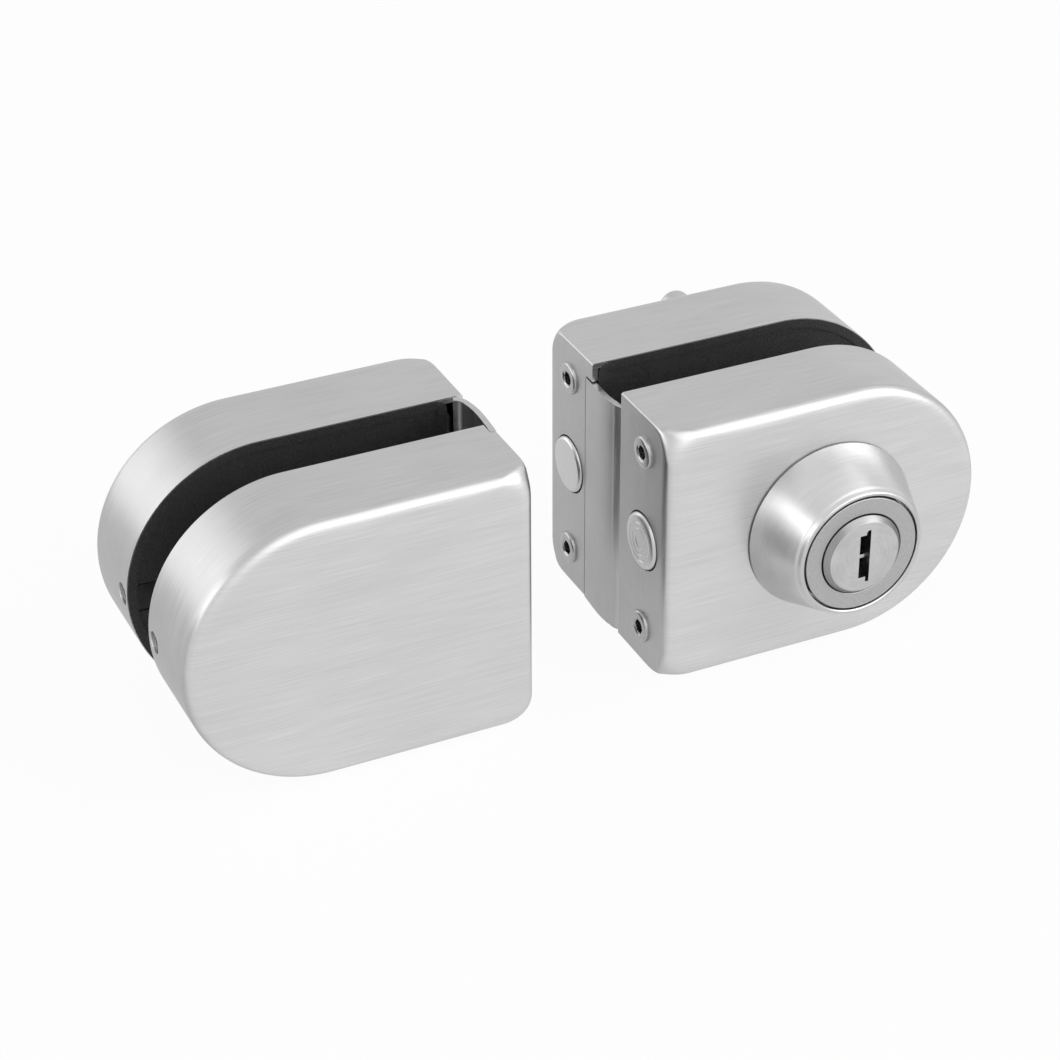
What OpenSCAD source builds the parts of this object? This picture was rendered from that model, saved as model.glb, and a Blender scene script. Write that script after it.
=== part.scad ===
// Glass door lock for a pair of frameless glass leaves: a lock half (+X) and a keeper half (-X).
// Millimetres. X runs across the doors, Y through the glass (front is -Y), Z up.
// Origin: midway between the halves, on the middle plane of the glass, level with the bottom faces.

/* [Door halves] */
// Height of a half, and the diameter of its round end
half_h = 55; // [48:1:70]
// Length of the straight part, from the meeting edge to the centre of the round end
straight_l = 41.3; // [40:0.1:52]
// Depth of a cover, from the glass slot to its flat face
shell_d = 19.8; // [19:0.1:24]
// Width of the slot that takes the glass
slot_w = 12.4; // [10:0.1:16]
// Gap between the two halves as they stand
halves_gap = 27.4; // [22:0.1:60]

/* [Drawn covers] */
// Thickness of the stainless sheet
sheet_t = 1.2; // [0.8:0.1:1.6]
// Radius between the flat face and the walls
face_fillet = 3.4; // [2.4:0.1:4.5]
// Radius of the upright corners beside the slot
edge_corner = 1.2; // [0.6:0.1:2]
// Radius of the same corners where they meet the face
ball_corner = 8; // [6:0.5:10]
// Depth over which an upright corner grows into the face corner
corner_run = 6.3; // [5:0.1:9]

/* [Cast blocks] */
// Gap between a block and the cover over it
block_clear = 0.15; // [0.1:0.05:0.3]
// Thickness of a block's floor, beside the glass
floor_t = 3; // [2.5:0.1:4]
// Thickness of a block's rim
rim_t = 2.2; // [1.8:0.1:3]
// Height of the rim above the slot plane
rim_top = 15.6; // [14:0.1:16]
// Radius of a block's upright edge beside the strip
block_edge_r = 2; // [1:0.1:2.5]

/* [Glass pads] */
// Thickness of a pad under the glass
pad_t = 0.75; // [0.5:0.05:1]
// Height of the lip round a pad
pad_lip_h = 0.4; // [0.2:0.05:0.6]
// Width of that lip
pad_lip_w = 1; // [0.8:0.1:2]
// How far the lip stands into the slot
pad_proud = 0.2; // [0.1:0.05:0.4]
// Distance from the cover's outer wall to the pad
pad_inset = 2; // [1.6:0.1:3]

/* [Edge strip] */
// Thickness of the strip that closes the slot at the meeting edge
strip_t = 1.2; // [1:0.1:1.5]
// How far its flush end laps over the cover's edge
strip_lap = 2.9; // [2:0.1:3.5]
// Distance from the strip's end to the end of the half
strip_short = 4.2; // [3:0.1:8]
// Outer radius of its curled end
strip_curl_r = 3.6; // [3:0.1:4.5]
// Angle of the curl
strip_curl_a = 65; // [45:5:75]
// Depth of the hook that holds the strip in the block
strip_hook = 2.6; // [2:0.1:3]

/* [Bolts] */
// Diameter of a bolt
bolt_d = 11.7; // [10:0.1:12]
// Travel of a bolt
bolt_throw = 10; // [7:0.5:10]
// How far a drawn bolt stands out of the meeting edge
bolt_proud = 0.8; // [0.3:0.1:1.2]
// Running clearance round a bolt
bolt_fit = 0.05; // [0.03:0.01:0.1]
// Clearance round a bolt in the cover and in the keeper
bolt_ease = 0.25; // [0.2:0.05:0.45]
// Chamfer on a bolt's nose
bolt_chamfer = 0.7; // [0.4:0.1:1.2]
// Length of a bolt's round part
bolt_round_l = 23.5; // [22.5:0.5:24]
// Thickness of its flat tail
tail_t = 4; // [3:0.1:4.5]
// Depth of the hole that the keeper has for a bolt
strike_l = 14; // [12:0.5:18]
// Wall round the bores in the blocks
channel_wall = 2.4; // [2:0.1:2.6]

/* [Cylinder] */
// Distance from the meeting edge to the axis of the cylinder and the thumbturn
axis_u = 35.4; // [35:0.1:37]
// Diameter of the collar where it meets the face
collar_base_d = 35.4; // [33:0.2:38]
// Diameter of the collar's rim
collar_rim_d = 26.6; // [26:0.1:28]
// Height of the collar
collar_h = 12.8; // [11:0.1:14]
// Thickness of the collar's wall
collar_t = 1.6; // [1.3:0.1:2]
// Diameter of the cylinder's front ring
ring_d = 24; // [23:0.1:24.5]
// How far the ring lies inside the collar's rim
ring_sunk = 0.5; // [0.3:0.1:1]
// Thickness of the ring
ring_t = 2.6; // [2:0.1:3]
// Diameter of the cylinder's body
housing_d = 22; // [21:0.1:22.4]
// Width across the two flats on the body
housing_flats = 20; // [18:0.5:20.5]
// Diameter of the plug's face
plug_d = 16.8; // [15.5:0.1:17]
// Diameter of the plug behind its face
plug_body_d = 15; // [14:0.1:15.3]
// Thickness of the plug's head
plug_head_t = 3; // [2.2:0.1:3.4]
// Running clearance round the plug
plug_fit = 0.05; // [0.03:0.01:0.1]
// How far the plug stands out of the ring
plug_proud = 1.2; // [0.6:0.1:1.6]
// Chamfer round the plug's face
plug_chamfer = 1; // [0.4:0.1:1.2]
// Width of the keyway
key_w = 2.3; // [1.6:0.1:2.6]
// Height of the keyway
key_h = 9.1; // [8:0.1:9.4]
// Height of the narrow groove past each end of the keyway
key_groove_h = 1.15; // [0.6:0.05:1.3]
// Width of that groove
key_groove_w = 0.8; // [0.6:0.1:1]
// Number of wafers in the plug
wafer_n = 5; // [3:1:5]
// Spacing of the wafers
wafer_pitch = 2; // [1.5:0.1:2]
// Depth of the housing's grooves that catch the wafers
wafer_groove = 0.8; // [0.5:0.1:1.2]
// Thickness of a wafer
wafer_t = 1; // [0.8:0.1:1.1]
// Width of a wafer
wafer_w = 6.4; // [5.6:0.1:7]

/* [Bolt drive] */
// Diameter of the pin that drives a bolt
crank_pin_d = 3; // [2.6:0.1:3.4]
// Thickness of a crank
crank_t = 1.8; // [1.6:0.1:2]
// Clearance on each side of the pin in the tail's slot
crank_ease = 0.3; // [0.25:0.05:0.45]
// Thickness of the plate that carries the cylinder or the spindle
plate_t = 3; // [2.5:0.1:3.2]
// Clearance between the pieces that pass over each other
layer_gap = 0.3; // [0.2:0.05:0.4]
// Gap between pieces that rest on each other
seat = 0.05; // [0.02:0.01:0.1]
// Room over a bearing plate for the heads of its screws
plate_room = 1.3; // [1.1:0.1:1.6]
// Distance from a bearing plate to the top and the bottom of the half
plate_inset = 7.5; // [7:0.1:9]
// Distance from the axis to the far end of a bearing plate
plate_reach = 14; // [13:0.1:15]
// Length of the screw that holds a crank
crank_screw_l = 4.4; // [4:0.1:4.6]

/* [Thumbturn] */
// Length of the thumbturn's bar
turn_l = 40.4; // [32:0.2:44]
// Width of the bar
turn_w = 6.8; // [6:0.1:9]
// Thickness of the bar
turn_t = 7; // [6:0.1:9]
// Distance from the rear face to the bar's back
turn_reach = 15; // [13:0.1:16.5]
// Diameter of the rose under it
rose_d = 30; // [26:0.5:34]
// Height of the rose
rose_h = 3.2; // [2.4:0.1:3.8]
// Diameter of the hub that joins the bar to the spindle
neck_d = 14; // [13:0.5:18]
// Diameter of the rose's spigot, which passes through the cover
spigot_d = 10; // [9:0.5:14]
// Diameter of the spindle
spindle_d = 6; // [5.6:0.1:6.4]
// Running clearance round the spindle
spindle_fit = 0.05; // [0.03:0.01:0.1]

/* [Fasteners] */
// Height of the edge screws above and below the middle
edge_screw_z = 19.6; // [17.5:0.1:20]
// Diameter of their heads
edge_head_d = 6.6; // [6:0.1:7]
// How far the heads stand out
edge_head_proud = 0.75; // [0.4:0.05:0.9]
// Depth of the counterbore for a head
edge_head_sunk = 0.45; // [0.3:0.05:0.7]
// Diameter of their threads
edge_thread_d = 3.9; // [3:0.1:4.1]
// Length of their threads
edge_thread_l = 10; // [8:0.5:11]
// Width of a screw's hexagon socket, across its corners
socket_d = 2.9; // [2:0.1:3.2]
// Width of the small screws' sockets
small_socket_d = 1.6; // [1.2:0.1:2]
// Distance from the slot to the screws in the round end
end_screw_d = 2.9; // [2.8:0.1:4]
// Diameter of those screws
end_thread_d = 3.9; // [3:0.1:4.1]
// Diameter of the holes over them
end_hole_d = 4.4; // [4.2:0.1:4.8]
// Length of those screws
end_screw_l = 6; // [5:0.5:6]
// Diameter of the grub screws that clamp the glass
clamp_thread_d = 4.9; // [4:0.1:5]
// Length of those grub screws
clamp_l = 6; // [5:0.5:8]
// Distance from the meeting edge to the first two grub screws of a block
clamp_u = 15; // [14:0.1:17]
// Distance from these two to the top and the bottom of the half
clamp_edge = 13.9; // [13:0.1:15]
// Distance from the third to the round end
clamp_back = 11.3; // [10.5:0.1:14]
// Thread clearance round every screw
thread_fit = 0.05; // [0.03:0.01:0.1]

/* [Hidden] */
$fn = 96;
eps = 0.01;

// Half's own frame: u from the meeting edge, v up from mid-height, d out from the slot plane
end_r = half_h / 2;
mid_d = shell_d / 2;
half_l = straight_l + end_r;
block_inset = sheet_t + block_clear;
floor_d0 = pad_t + pad_lip_h - pad_proud;
floor_d1 = floor_d0 + floor_t;
bolt_r = bolt_d / 2;
channel_r = bolt_r + channel_wall;

// Drive: the pin turns a quarter turn about the axis, from 45 degrees outward to 45 inward
crank_r = bolt_throw / (2 * sin(45));
pin_u = axis_u + crank_r * cos(45);
pin_v = crank_r * sin(45);
cover_in = shell_d - sheet_t;
plate_d1 = cover_in - plate_room;
plate_d0 = plate_d1 - plate_t;
crank_d1 = plate_d0 - layer_gap;
crank_d0 = crank_d1 - crank_t;
tail_d1 = crank_d0 - layer_gap;
tail_d0 = tail_d1 - tail_t;
pin_slot_w = crank_pin_d + 2 * crank_ease;
fork_wall = 2.2;
tail_u0 = bolt_round_l - bolt_proud;
tail_u1 = pin_u + pin_slot_w / 2 + fork_wall;
tail_top = crank_r + 1.2;
tail_low = 4;
hub_r = 5;

// Cylinder along d
collar_top = shell_d + collar_h;
ring_top = collar_top - ring_sunk;
ring_base = ring_top - ring_t;
plug_top = ring_top + plug_proud;
plug_r = plug_d / 2;
plug_body_r = plug_body_d / 2;
plug_head_d0 = plug_top - plug_head_t;
keyway_d0 = crank_d0 + crank_screw_l + 1.3;
housing_r = housing_d / 2;
clip_t = 1;
clip_d0 = plate_d1 + (cover_in - plate_d1 - clip_t) / 2;
clip_groove_r = housing_r - 1.2;

// Thumbturn along d
bar_d0 = shell_d + turn_reach - turn_t;
neck_d0 = shell_d + rose_h + layer_gap;
spindle_d1 = shell_d + turn_reach - 2.7;
hub_top = spindle_d1 + 0.7;
set_screw_d = (neck_d0 + bar_d0) / 2;

// Plate and its screws
plate_u0 = tail_u0 + 0.5;
plate_u1 = axis_u + plate_reach;
plate_v = end_r - plate_inset;
plate_boss_r = 3.2;
plate_screw_at = [for (u = [plate_u0 + 2.7, plate_u1 - 2.7], v = [-1, 1]) [u, v * (plate_v - 3)]];
plate_thread_d = 2.9;
plate_thread_l = 7;
plate_head_d = 5.4;
plate_head_h = 0.9;

clamp_at = [[clamp_u, end_r - clamp_edge], [clamp_u, clamp_edge - end_r], [half_l - clamp_back, 0]];
clamp_boss_r = 4.6;
clamp_boss_top = 8;
edge_boss_r = 3.9;

// Strip across the slot, in u and y
strip_len = half_h - strip_short;
strip_end_y = slot_w / 2 + strip_lap;
curl_y = -slot_w / 2 + strip_curl_r;
relief = 0.15;
end_boss_d0 = 0.15;
end_boss_w = 5.4;
end_boss_l = end_screw_l + 1.6;
end_wall = 2;

// Placing

module lock_half() {
    translate([halves_gap / 2, 0, half_h / 2]) children();
}

module keeper_half() {
    translate([-halves_gap / 2, 0, half_h / 2]) mirror([1, 0, 0]) children();
}

// Lays u, v, d geometry on the front of the slot
module front() {
    translate([0, -slot_w / 2, 0]) rotate([90, 0, 0]) children();
}

module rear() {
    mirror([0, 1, 0]) front() children();
}

// A cylinder or hole along u, seen from the meeting edge
module along_u(u0, v, d, r, l) {
    translate([u0, v, d]) rotate([0, 90, 0]) cylinder(r = r, h = l);
}

// Covers

// D outline, smaller all round by inset
module d_outline(inset, corner) {
    r = end_r - inset;
    c = max(corner - inset, 0.2);
    translate([straight_l, 0]) circle(r = r);
    translate([inset + c, -r]) square([straight_l - inset - c, 2 * r]);
    translate([inset, -r + c]) square([c + eps, 2 * (r - c)]);
    for (s = [-1, 1]) translate([inset + c, s * (r - c)]) circle(r = c);
}

module d_prism(inset, corner, d0, d1) {
    translate([0, 0, d0]) linear_extrude(d1 - d0) d_outline(inset, corner);
}

// Half of the section through the round end, with its fillet
module end_section(inset, d0) {
    r = end_r - inset;
    top = shell_d - inset;
    f = face_fillet - inset;
    translate([0, d0]) square([r, top - f - d0]);
    translate([0, d0]) square([r - f, top - d0]);
    translate([r - f, top - f]) circle(r = f);
}

// Envelope that grows an upright corner into the rounder corner of the face
module corner_section(inset, d0) {
    top = shell_d - inset;
    f = face_fillet - inset;
    c = ball_corner - inset;
    wide = c * sqrt(2) + 0.2;
    // tangent from the corner's foot to the fillet circle
    foot = [wide, shell_d - corner_run];
    centre = [c - f, top - f];
    gap = foot - centre;
    reach = norm(gap);
    turn = atan2(gap[1], gap[0]) + acos(f / reach);
    touch = centre + f * [cos(turn), sin(turn)];
    translate([0, d0]) square([c - f, top - d0]);
    translate(centre) circle(r = f);
    polygon([[0, d0], [wide, d0], foot, touch, centre, [0, top - f]]);
}

// The drawn form of a cover, smaller all round by inset
module drawn_form(inset, d0) {
    r = end_r - inset;
    top = shell_d - inset;
    f = face_fillet - inset;
    c = ball_corner - inset;
    translate([straight_l, 0, 0]) rotate([0, 0, -90])
        rotate_extrude(angle = 180) end_section(inset, d0);
    difference() {
        intersection() {
            // along u, with the long fillets
            translate([inset, 0, 0]) rotate([90, 0, 90]) linear_extrude(straight_l - inset) {
                translate([-r, d0]) square([2 * r, top - f - d0]);
                translate([-r + f, d0]) square([2 * (r - f), top - d0]);
                for (s = [-1, 1]) translate([s * (r - f), top - f]) circle(r = f);
            }
            // along v, with the fillet at the meeting edge
            translate([0, r + 1, 0]) rotate([90, 0, 0]) linear_extrude(2 * r + 2) {
                translate([inset, d0]) square([straight_l + 1 - inset, top - f - d0]);
                translate([inset + f, d0]) square([straight_l + 1 - inset - f, top - d0]);
                translate([inset + f, top - f]) circle(r = f);
            }
            if (inset < edge_corner) d_prism(inset, edge_corner, d0, top + 1);
        }
        for (s = [-1, 1]) mirror([0, s < 0 ? 1 : 0, 0]) difference() {
            translate([inset - 1, r - c, shell_d - corner_run - 1])
                cube([c + 1, c + 1, corner_run + 2]);
            translate([inset + c, r - c, 0]) rotate_extrude() corner_section(inset, d0);
        }
    }
}

// A cover with its wall cut back where the strip laps it
module cover(lapped, strip_sign) {
    difference() {
        drawn_form(0, 0);
        drawn_form(sheet_t, -1);
        for (s = [-1, 1]) {
            along_u(-1, s * edge_screw_z, mid_d, edge_thread_d / 2 + 0.15, sheet_t + 2);
            along_u(-1, s * edge_screw_z, mid_d, edge_head_d / 2 + 0.15, 1 + edge_head_sunk);
        }
        along_u(-1, 0, mid_d, bolt_r + bolt_ease, sheet_t + 2);
        along_u(half_l - end_screw_l, 0, end_screw_d, end_hole_d / 2, end_screw_l + 2);
        if (lapped) strip_cut(strip_sign);
    }
}

// Relief in the cover's edge: the strip's height, ending in a round notch
module strip_cut(strip_sign) {
    w = strip_lap + relief;
    notch_r = 0.9;
    far = strip_len - end_r + notch_r + relief;
    translate([-1, 0, 0]) mirror([0, strip_sign < 0 ? 1 : 0, 0]) {
        translate([0, -end_r - 1, -1]) cube([sheet_t + 1.1, far - notch_r + end_r + 1, w + 1]);
        translate([0, far - notch_r, -1]) cube([sheet_t + 1.1, notch_r, 1 + w - notch_r]);
        along_u(0, far - notch_r, w - notch_r, notch_r, sheet_t + 1.1);
    }
}

module housing_hole(clear, d0, d1) {
    translate([axis_u, 0, d0]) linear_extrude(d1 - d0) intersection() {
        circle(r = housing_r + clear);
        square([2 * housing_r + 2, housing_flats + 2 * clear], center = true);
    }
}

steel = [0.76, 0.76, 0.75];

module lock_front_cover() {
    color(steel) lock_half() front() difference() {
        cover(false, 1);
        housing_hole(0.15, cover_in - 1, shell_d + 1);
    }
}

module lock_rear_cover() {
    color(steel) lock_half() rear() difference() {
        cover(true, 1);
        translate([axis_u, 0, cover_in - 1]) cylinder(d = spigot_d + 2 * relief, h = sheet_t + 2);
    }
}

module keeper_front_cover() {
    color(steel) keeper_half() front() cover(true, -1);
}

module keeper_rear_cover() {
    color(steel) keeper_half() rear() cover(false, -1);
}

// Blocks

// Floor, rim and the bosses that both halves have
module block_body() {
    inner = block_inset + rim_t;
    intersection() {
        d_prism(block_inset, ball_corner, floor_d0, rim_top);
        union() {
            d_prism(block_inset, ball_corner, floor_d0, floor_d1);
            difference() {
                d_prism(block_inset, ball_corner, floor_d0, rim_top);
                d_prism(inner, ball_corner, floor_d1, rim_top + 1);
            }
            for (s = [-1, 1]) {
                along_u(0, s * edge_screw_z, mid_d, edge_boss_r, edge_thread_l + 3);
                // web that carries the boss down to the floor
                translate([0, s * edge_screw_z - 1.5, floor_d0]) cube([edge_thread_l + 3, 3, mid_d - floor_d0]);
            }
            for (p = clamp_at) translate([p[0], p[1], floor_d0])
                cylinder(r = clamp_boss_r, h = clamp_boss_top - floor_d0);
            translate([half_l - end_screw_l - end_wall - 1, -end_thread_d / 2 - end_wall, floor_d0])
                cube([half_l, end_thread_d + 2 * end_wall, end_screw_d + end_thread_d / 2 + end_wall - floor_d0]);
        }
    }
    // boss of the end screw, which stands out between the pad's ends
    intersection() {
        d_prism(block_inset, ball_corner, end_boss_d0, floor_d1);
        translate([half_l - end_boss_l, -end_boss_w / 2, end_boss_d0]) cube([half_l, end_boss_w, floor_d1]);
    }
}

// Everything that is cut from both blocks
module block_cuts() {
    for (s = [-1, 1])
        along_u(0, s * edge_screw_z, mid_d, edge_thread_d / 2 + thread_fit, edge_thread_l + 1.5);
    for (p = clamp_at) translate([p[0], p[1], 0])
        cylinder(d = clamp_thread_d + 2 * thread_fit, h = clamp_boss_top + 1);
    along_u(half_l - end_screw_l - 2, 0, end_screw_d, end_thread_d / 2 + thread_fit, half_l);
    // rounded upright edge beside the slot
    translate([0, -end_r, 0]) rotate([-90, 0, 0]) linear_extrude(half_h) difference() {
        translate([0, -floor_d0 - block_edge_r]) square([block_inset + block_edge_r, block_edge_r + 1]);
        translate([block_inset + block_edge_r, -floor_d0 - block_edge_r]) circle(r = block_edge_r);
    }
}

// Groove for the strip's hook, on the side where the strip is flush
module hook_groove() {
    translate([0, -end_r - 1, strip_lap - strip_t - relief])
        cube([strip_t + strip_hook + relief, half_h + 2, strip_t + 2 * relief]);
}

// Boss round a bolt, chamfered under the cover's fillet
module bolt_channel(l) {
    difference() {
        intersection() {
            d_prism(block_inset, ball_corner, floor_d0, cover_in - 0.3);
            union() {
                along_u(0, 0, mid_d, channel_r, l);
                translate([0, -channel_r, floor_d0]) cube([l, 2 * channel_r, mid_d - floor_d0]);
            }
        }
        translate([0, end_r, 0]) rotate([90, 0, 0]) linear_extrude(half_h) polygon([
            [0, rim_top], [block_inset, rim_top], [block_inset + shell_d - rim_top, shell_d], [0, shell_d]
        ]);
    }
}

// Block of the lock half: a guided channel, then an open bay for the tail and the drive
module lock_block(hooked) {
    channel_l = tail_u0 - bolt_throw + 3.5;
    difference() {
        union() {
            block_body();
            bolt_channel(channel_l);
            for (p = plate_screw_at) translate([p[0], p[1], floor_d0])
                cylinder(r = plate_boss_r, h = plate_d0 - floor_d0);
        }
        block_cuts();
        along_u(-1, 0, mid_d, bolt_r + bolt_fit, channel_l + 2);
        for (p = plate_screw_at) translate([p[0], p[1], plate_d0 - plate_thread_l])
            cylinder(d = plate_thread_d + 2 * thread_fit, h = plate_thread_l + 1);
        if (hooked) hook_groove();
    }
}

// Block of the keeper half, with a blind hole for the thrown bolt
module keeper_block(hooked) {
    difference() {
        union() {
            block_body();
            bolt_channel(block_inset + strike_l + 3);
        }
        block_cuts();
        along_u(-1, 0, mid_d, bolt_r + bolt_ease, 1 + block_inset + strike_l);
        if (hooked) hook_groove();
    }
}

zinc = [0.30, 0.30, 0.31];

module lock_front_block() {
    color(zinc) lock_half() front() lock_block(false);
}

module lock_rear_block() {
    color(zinc) lock_half() rear() lock_block(true);
}

module keeper_front_block() {
    color(zinc) keeper_half() front() keeper_block(true);
}

module keeper_rear_block() {
    color(zinc) keeper_half() rear() keeper_block(false);
}

// Pads

// Moulded pad with a lip round it, left open beside the end screw
module pad() {
    corner = ball_corner;
    top = floor_d0;
    field = top - pad_t;
    start = block_inset + block_edge_r - pad_inset;
    difference() {
        intersection() {
            d_prism(pad_inset, corner, field - pad_lip_h, top - 0.05);
            translate([pad_inset + start, -end_r, -2]) cube([half_l, half_h, 10]);
        }
        intersection() {
            d_prism(pad_inset + pad_lip_w, corner, -3, field);
            translate([pad_inset + start + pad_lip_w, -end_r, -4]) cube([half_l, half_h, 10]);
        }
        translate([half_l - end_boss_l - relief, -end_boss_w / 2 - relief, -3])
            cube([half_l, end_boss_w + 2 * relief, floor_d1 + 3]);
    }
}

black = [0.10, 0.10, 0.10];

module lock_front_pad() {
    color(black) lock_half() front() pad();
}

module lock_rear_pad() {
    color(black) lock_half() rear() pad();
}

module keeper_front_pad() {
    color(black) keeper_half() front() pad();
}

module keeper_rear_pad() {
    color(black) keeper_half() rear() pad();
}

// Strips

// Strip section in u and y: flush and hooked at +y, curled behind the cover at -y
module strip_section() {
    translate([0, curl_y]) square([strip_t, strip_end_y - curl_y]);
    translate([0, strip_end_y - strip_t]) square([strip_t + strip_hook, strip_t]);
    intersection() {
        translate([strip_curl_r, curl_y]) difference() {
            circle(r = strip_curl_r);
            circle(r = strip_curl_r - strip_t);
        }
        translate([strip_curl_r, curl_y]) polygon([
            [0, 0], [-2 * strip_curl_r, 0], [-2 * strip_curl_r, -2 * strip_curl_r],
            2 * strip_curl_r * [-cos(strip_curl_a), -sin(strip_curl_a)]
        ]);
    }
}

// The hook stops short of the cover's end wall
module strip() {
    difference() {
        linear_extrude(strip_len) strip_section();
        translate([strip_t, strip_end_y - strip_t - 1, -1]) cube([2 * strip_hook, strip_t + 2, 1 + sheet_t + relief]);
    }
}

module lock_edge_strip() {
    color(steel) lock_half() translate([0, 0, -end_r]) strip();
}

// The keeper's strip is turned about: flush at the front, and level with the top
module keeper_edge_strip() {
    color(steel) keeper_half() translate([0, 0, end_r]) rotate([180, 0, 0]) strip();
}

// Screws

module socket(width, depth) {
    translate([0, 0, -eps]) cylinder(d = width, h = depth + eps, $fn = 6);
}

// Flat-headed screw along +z with its head's outer face at 0
module head_screw(head_d, head_h, thread_d, thread_l, socket_w) {
    bevel = min(0.35, head_h / 3);
    difference() {
        rotate_extrude() polygon([
            [0, 0], [head_d / 2 - bevel, 0], [head_d / 2, bevel], [head_d / 2, head_h],
            [thread_d / 2, head_h], [thread_d / 2, head_h + thread_l - 0.4],
            [thread_d / 2 - 0.4, head_h + thread_l], [0, head_h + thread_l]
        ]);
        socket(socket_w, min(1.6, head_h + 0.6));
    }
}

// Grub screw along +z with its socket at 0
module grub_screw(d, l, socket_w) {
    difference() {
        rotate_extrude() polygon([
            [0, 0], [d / 2 - 0.3, 0], [d / 2, 0.3], [d / 2, l - 0.8], [d / 2 - 0.8, l], [0, l]
        ]);
        socket(socket_w, min(2, l / 2));
    }
}

module edge_screws() {
    for (s = [-1, 1]) translate([-edge_head_proud, s * edge_screw_z, mid_d]) rotate([0, 90, 0])
        head_screw(edge_head_d, edge_head_proud + edge_head_sunk - seat, edge_thread_d, edge_thread_l, socket_d);
}

module end_screw() {
    translate([half_l - 0.7, 0, end_screw_d]) rotate([0, -90, 0]) grub_screw(end_thread_d, end_screw_l, socket_d);
}

module clamp_screws() {
    for (p = clamp_at) translate([p[0], p[1], floor_d0 + clamp_l]) rotate([180, 0, 0])
        grub_screw(clamp_thread_d, clamp_l, socket_d);
}

nickel = [0.72, 0.72, 0.70];

module lock_edge_screws() {
    color(nickel) lock_half() { front() edge_screws(); rear() edge_screws(); }
}

module lock_end_screws() {
    color(nickel) lock_half() { front() end_screw(); rear() end_screw(); }
}

module lock_clamp_screws() {
    color(nickel) lock_half() { front() clamp_screws(); rear() clamp_screws(); }
}

module keeper_edge_screws() {
    color(nickel) keeper_half() { front() edge_screws(); rear() edge_screws(); }
}

module keeper_end_screws() {
    color(nickel) keeper_half() { front() end_screw(); rear() end_screw(); }
}

module keeper_clamp_screws() {
    color(nickel) keeper_half() { front() clamp_screws(); rear() clamp_screws(); }
}

module plate_screw_set() {
    for (p = plate_screw_at) translate([p[0], p[1], plate_d1 + seat + plate_head_h]) rotate([180, 0, 0])
        head_screw(plate_head_d, plate_head_h, plate_thread_d, plate_t + plate_thread_l - 1, small_socket_d);
}

module plate_screws() {
    color(nickel) lock_half() { front() plate_screw_set(); rear() plate_screw_set(); }
}

// Bearing plates

module bearing_plate() {
    difference() {
        translate([plate_u0, -plate_v, plate_d0]) cube([plate_u1 - plate_u0, 2 * plate_v, plate_t]);
        for (p = plate_screw_at) translate([p[0], p[1], plate_d0 - 1])
            cylinder(d = plate_thread_d + 0.4, h = plate_t + 2);
    }
}

module cylinder_plate() {
    color(zinc) lock_half() front() difference() {
        bearing_plate();
        housing_hole(0.05, plate_d0 - 1, plate_d1 + 1);
    }
}

module thumbturn_plate() {
    color(zinc) lock_half() rear() difference() {
        bearing_plate();
        translate([axis_u, 0, plate_d0 - 1]) cylinder(d = spindle_d + 2 * spindle_fit, h = plate_t + 2);
    }
}

// Bolts

// Round bolt with a turned nose and a flat tail that the crank pin drives
module bolt() {
    nose = -bolt_proud;
    difference() {
        union() {
            translate([nose, 0, mid_d]) rotate([0, 90, 0]) rotate_extrude() polygon([
                [0, 0], [bolt_r - bolt_chamfer, 0], [bolt_r, bolt_chamfer], [bolt_r, bolt_round_l], [0, bolt_round_l]
            ]);
            translate([tail_u0 - 1, -tail_low, tail_d0]) cube([tail_u1 - tail_u0 + 1, 2 * tail_low, tail_t]);
            // ear with the slot, above the axis
            translate([pin_u - pin_slot_w / 2 - fork_wall, -tail_low, tail_d0])
                cube([pin_slot_w + 2 * fork_wall, tail_low + tail_top, tail_t]);
        }
        translate([pin_u - pin_slot_w / 2, pin_v - crank_pin_d / 2 - crank_ease, tail_d0 - 1])
            cube([pin_slot_w, crank_r, tail_t + 2]);
        // fine turned ring on the nose
        translate([nose - eps, 0, mid_d]) rotate([0, 90, 0]) difference() {
            cylinder(r = bolt_r * 0.62, h = 0.12);
            translate([0, 0, -1]) cylinder(r = bolt_r * 0.52, h = 2);
        }
    }
}

module front_bolt() {
    color(nickel) lock_half() front() bolt();
}

module rear_bolt() {
    color(nickel) lock_half() rear() bolt();
}

// Crank with its pin, turned on a boss about the axis
module crank() {
    translate([axis_u, 0, crank_d0]) {
        difference() {
            union() {
                cylinder(r = hub_r, h = crank_t);
                rotate([0, 0, 45]) translate([0, -2.4, 0]) cube([crank_r, 4.8, crank_t]);
                rotate([0, 0, 45]) translate([crank_r, 0, 0]) cylinder(r = 2.4, h = crank_t);
            }
            crank_screw_form(thread_fit, crank_t + 1);
        }
        rotate([0, 0, 45]) translate([crank_r, 0, 2 * layer_gap - tail_t])
            cylinder(d = crank_pin_d, h = tail_t - 2 * layer_gap + eps);
    }
}

// Countersunk screw of a crank, larger all round by grow
module crank_screw_form(grow, l) {
    head_r = 2.6 + grow;
    thread_r = plate_thread_d / 2 + grow;
    rotate_extrude() polygon([[0, 0], [head_r, 0], [thread_r, head_r - thread_r], [thread_r, l], [0, l]]);
}

module crank_screw() {
    translate([axis_u, 0, crank_d0]) difference() {
        crank_screw_form(0, crank_screw_l);
        socket(small_socket_d, 0.9);
    }
}

// Cylinder

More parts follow.
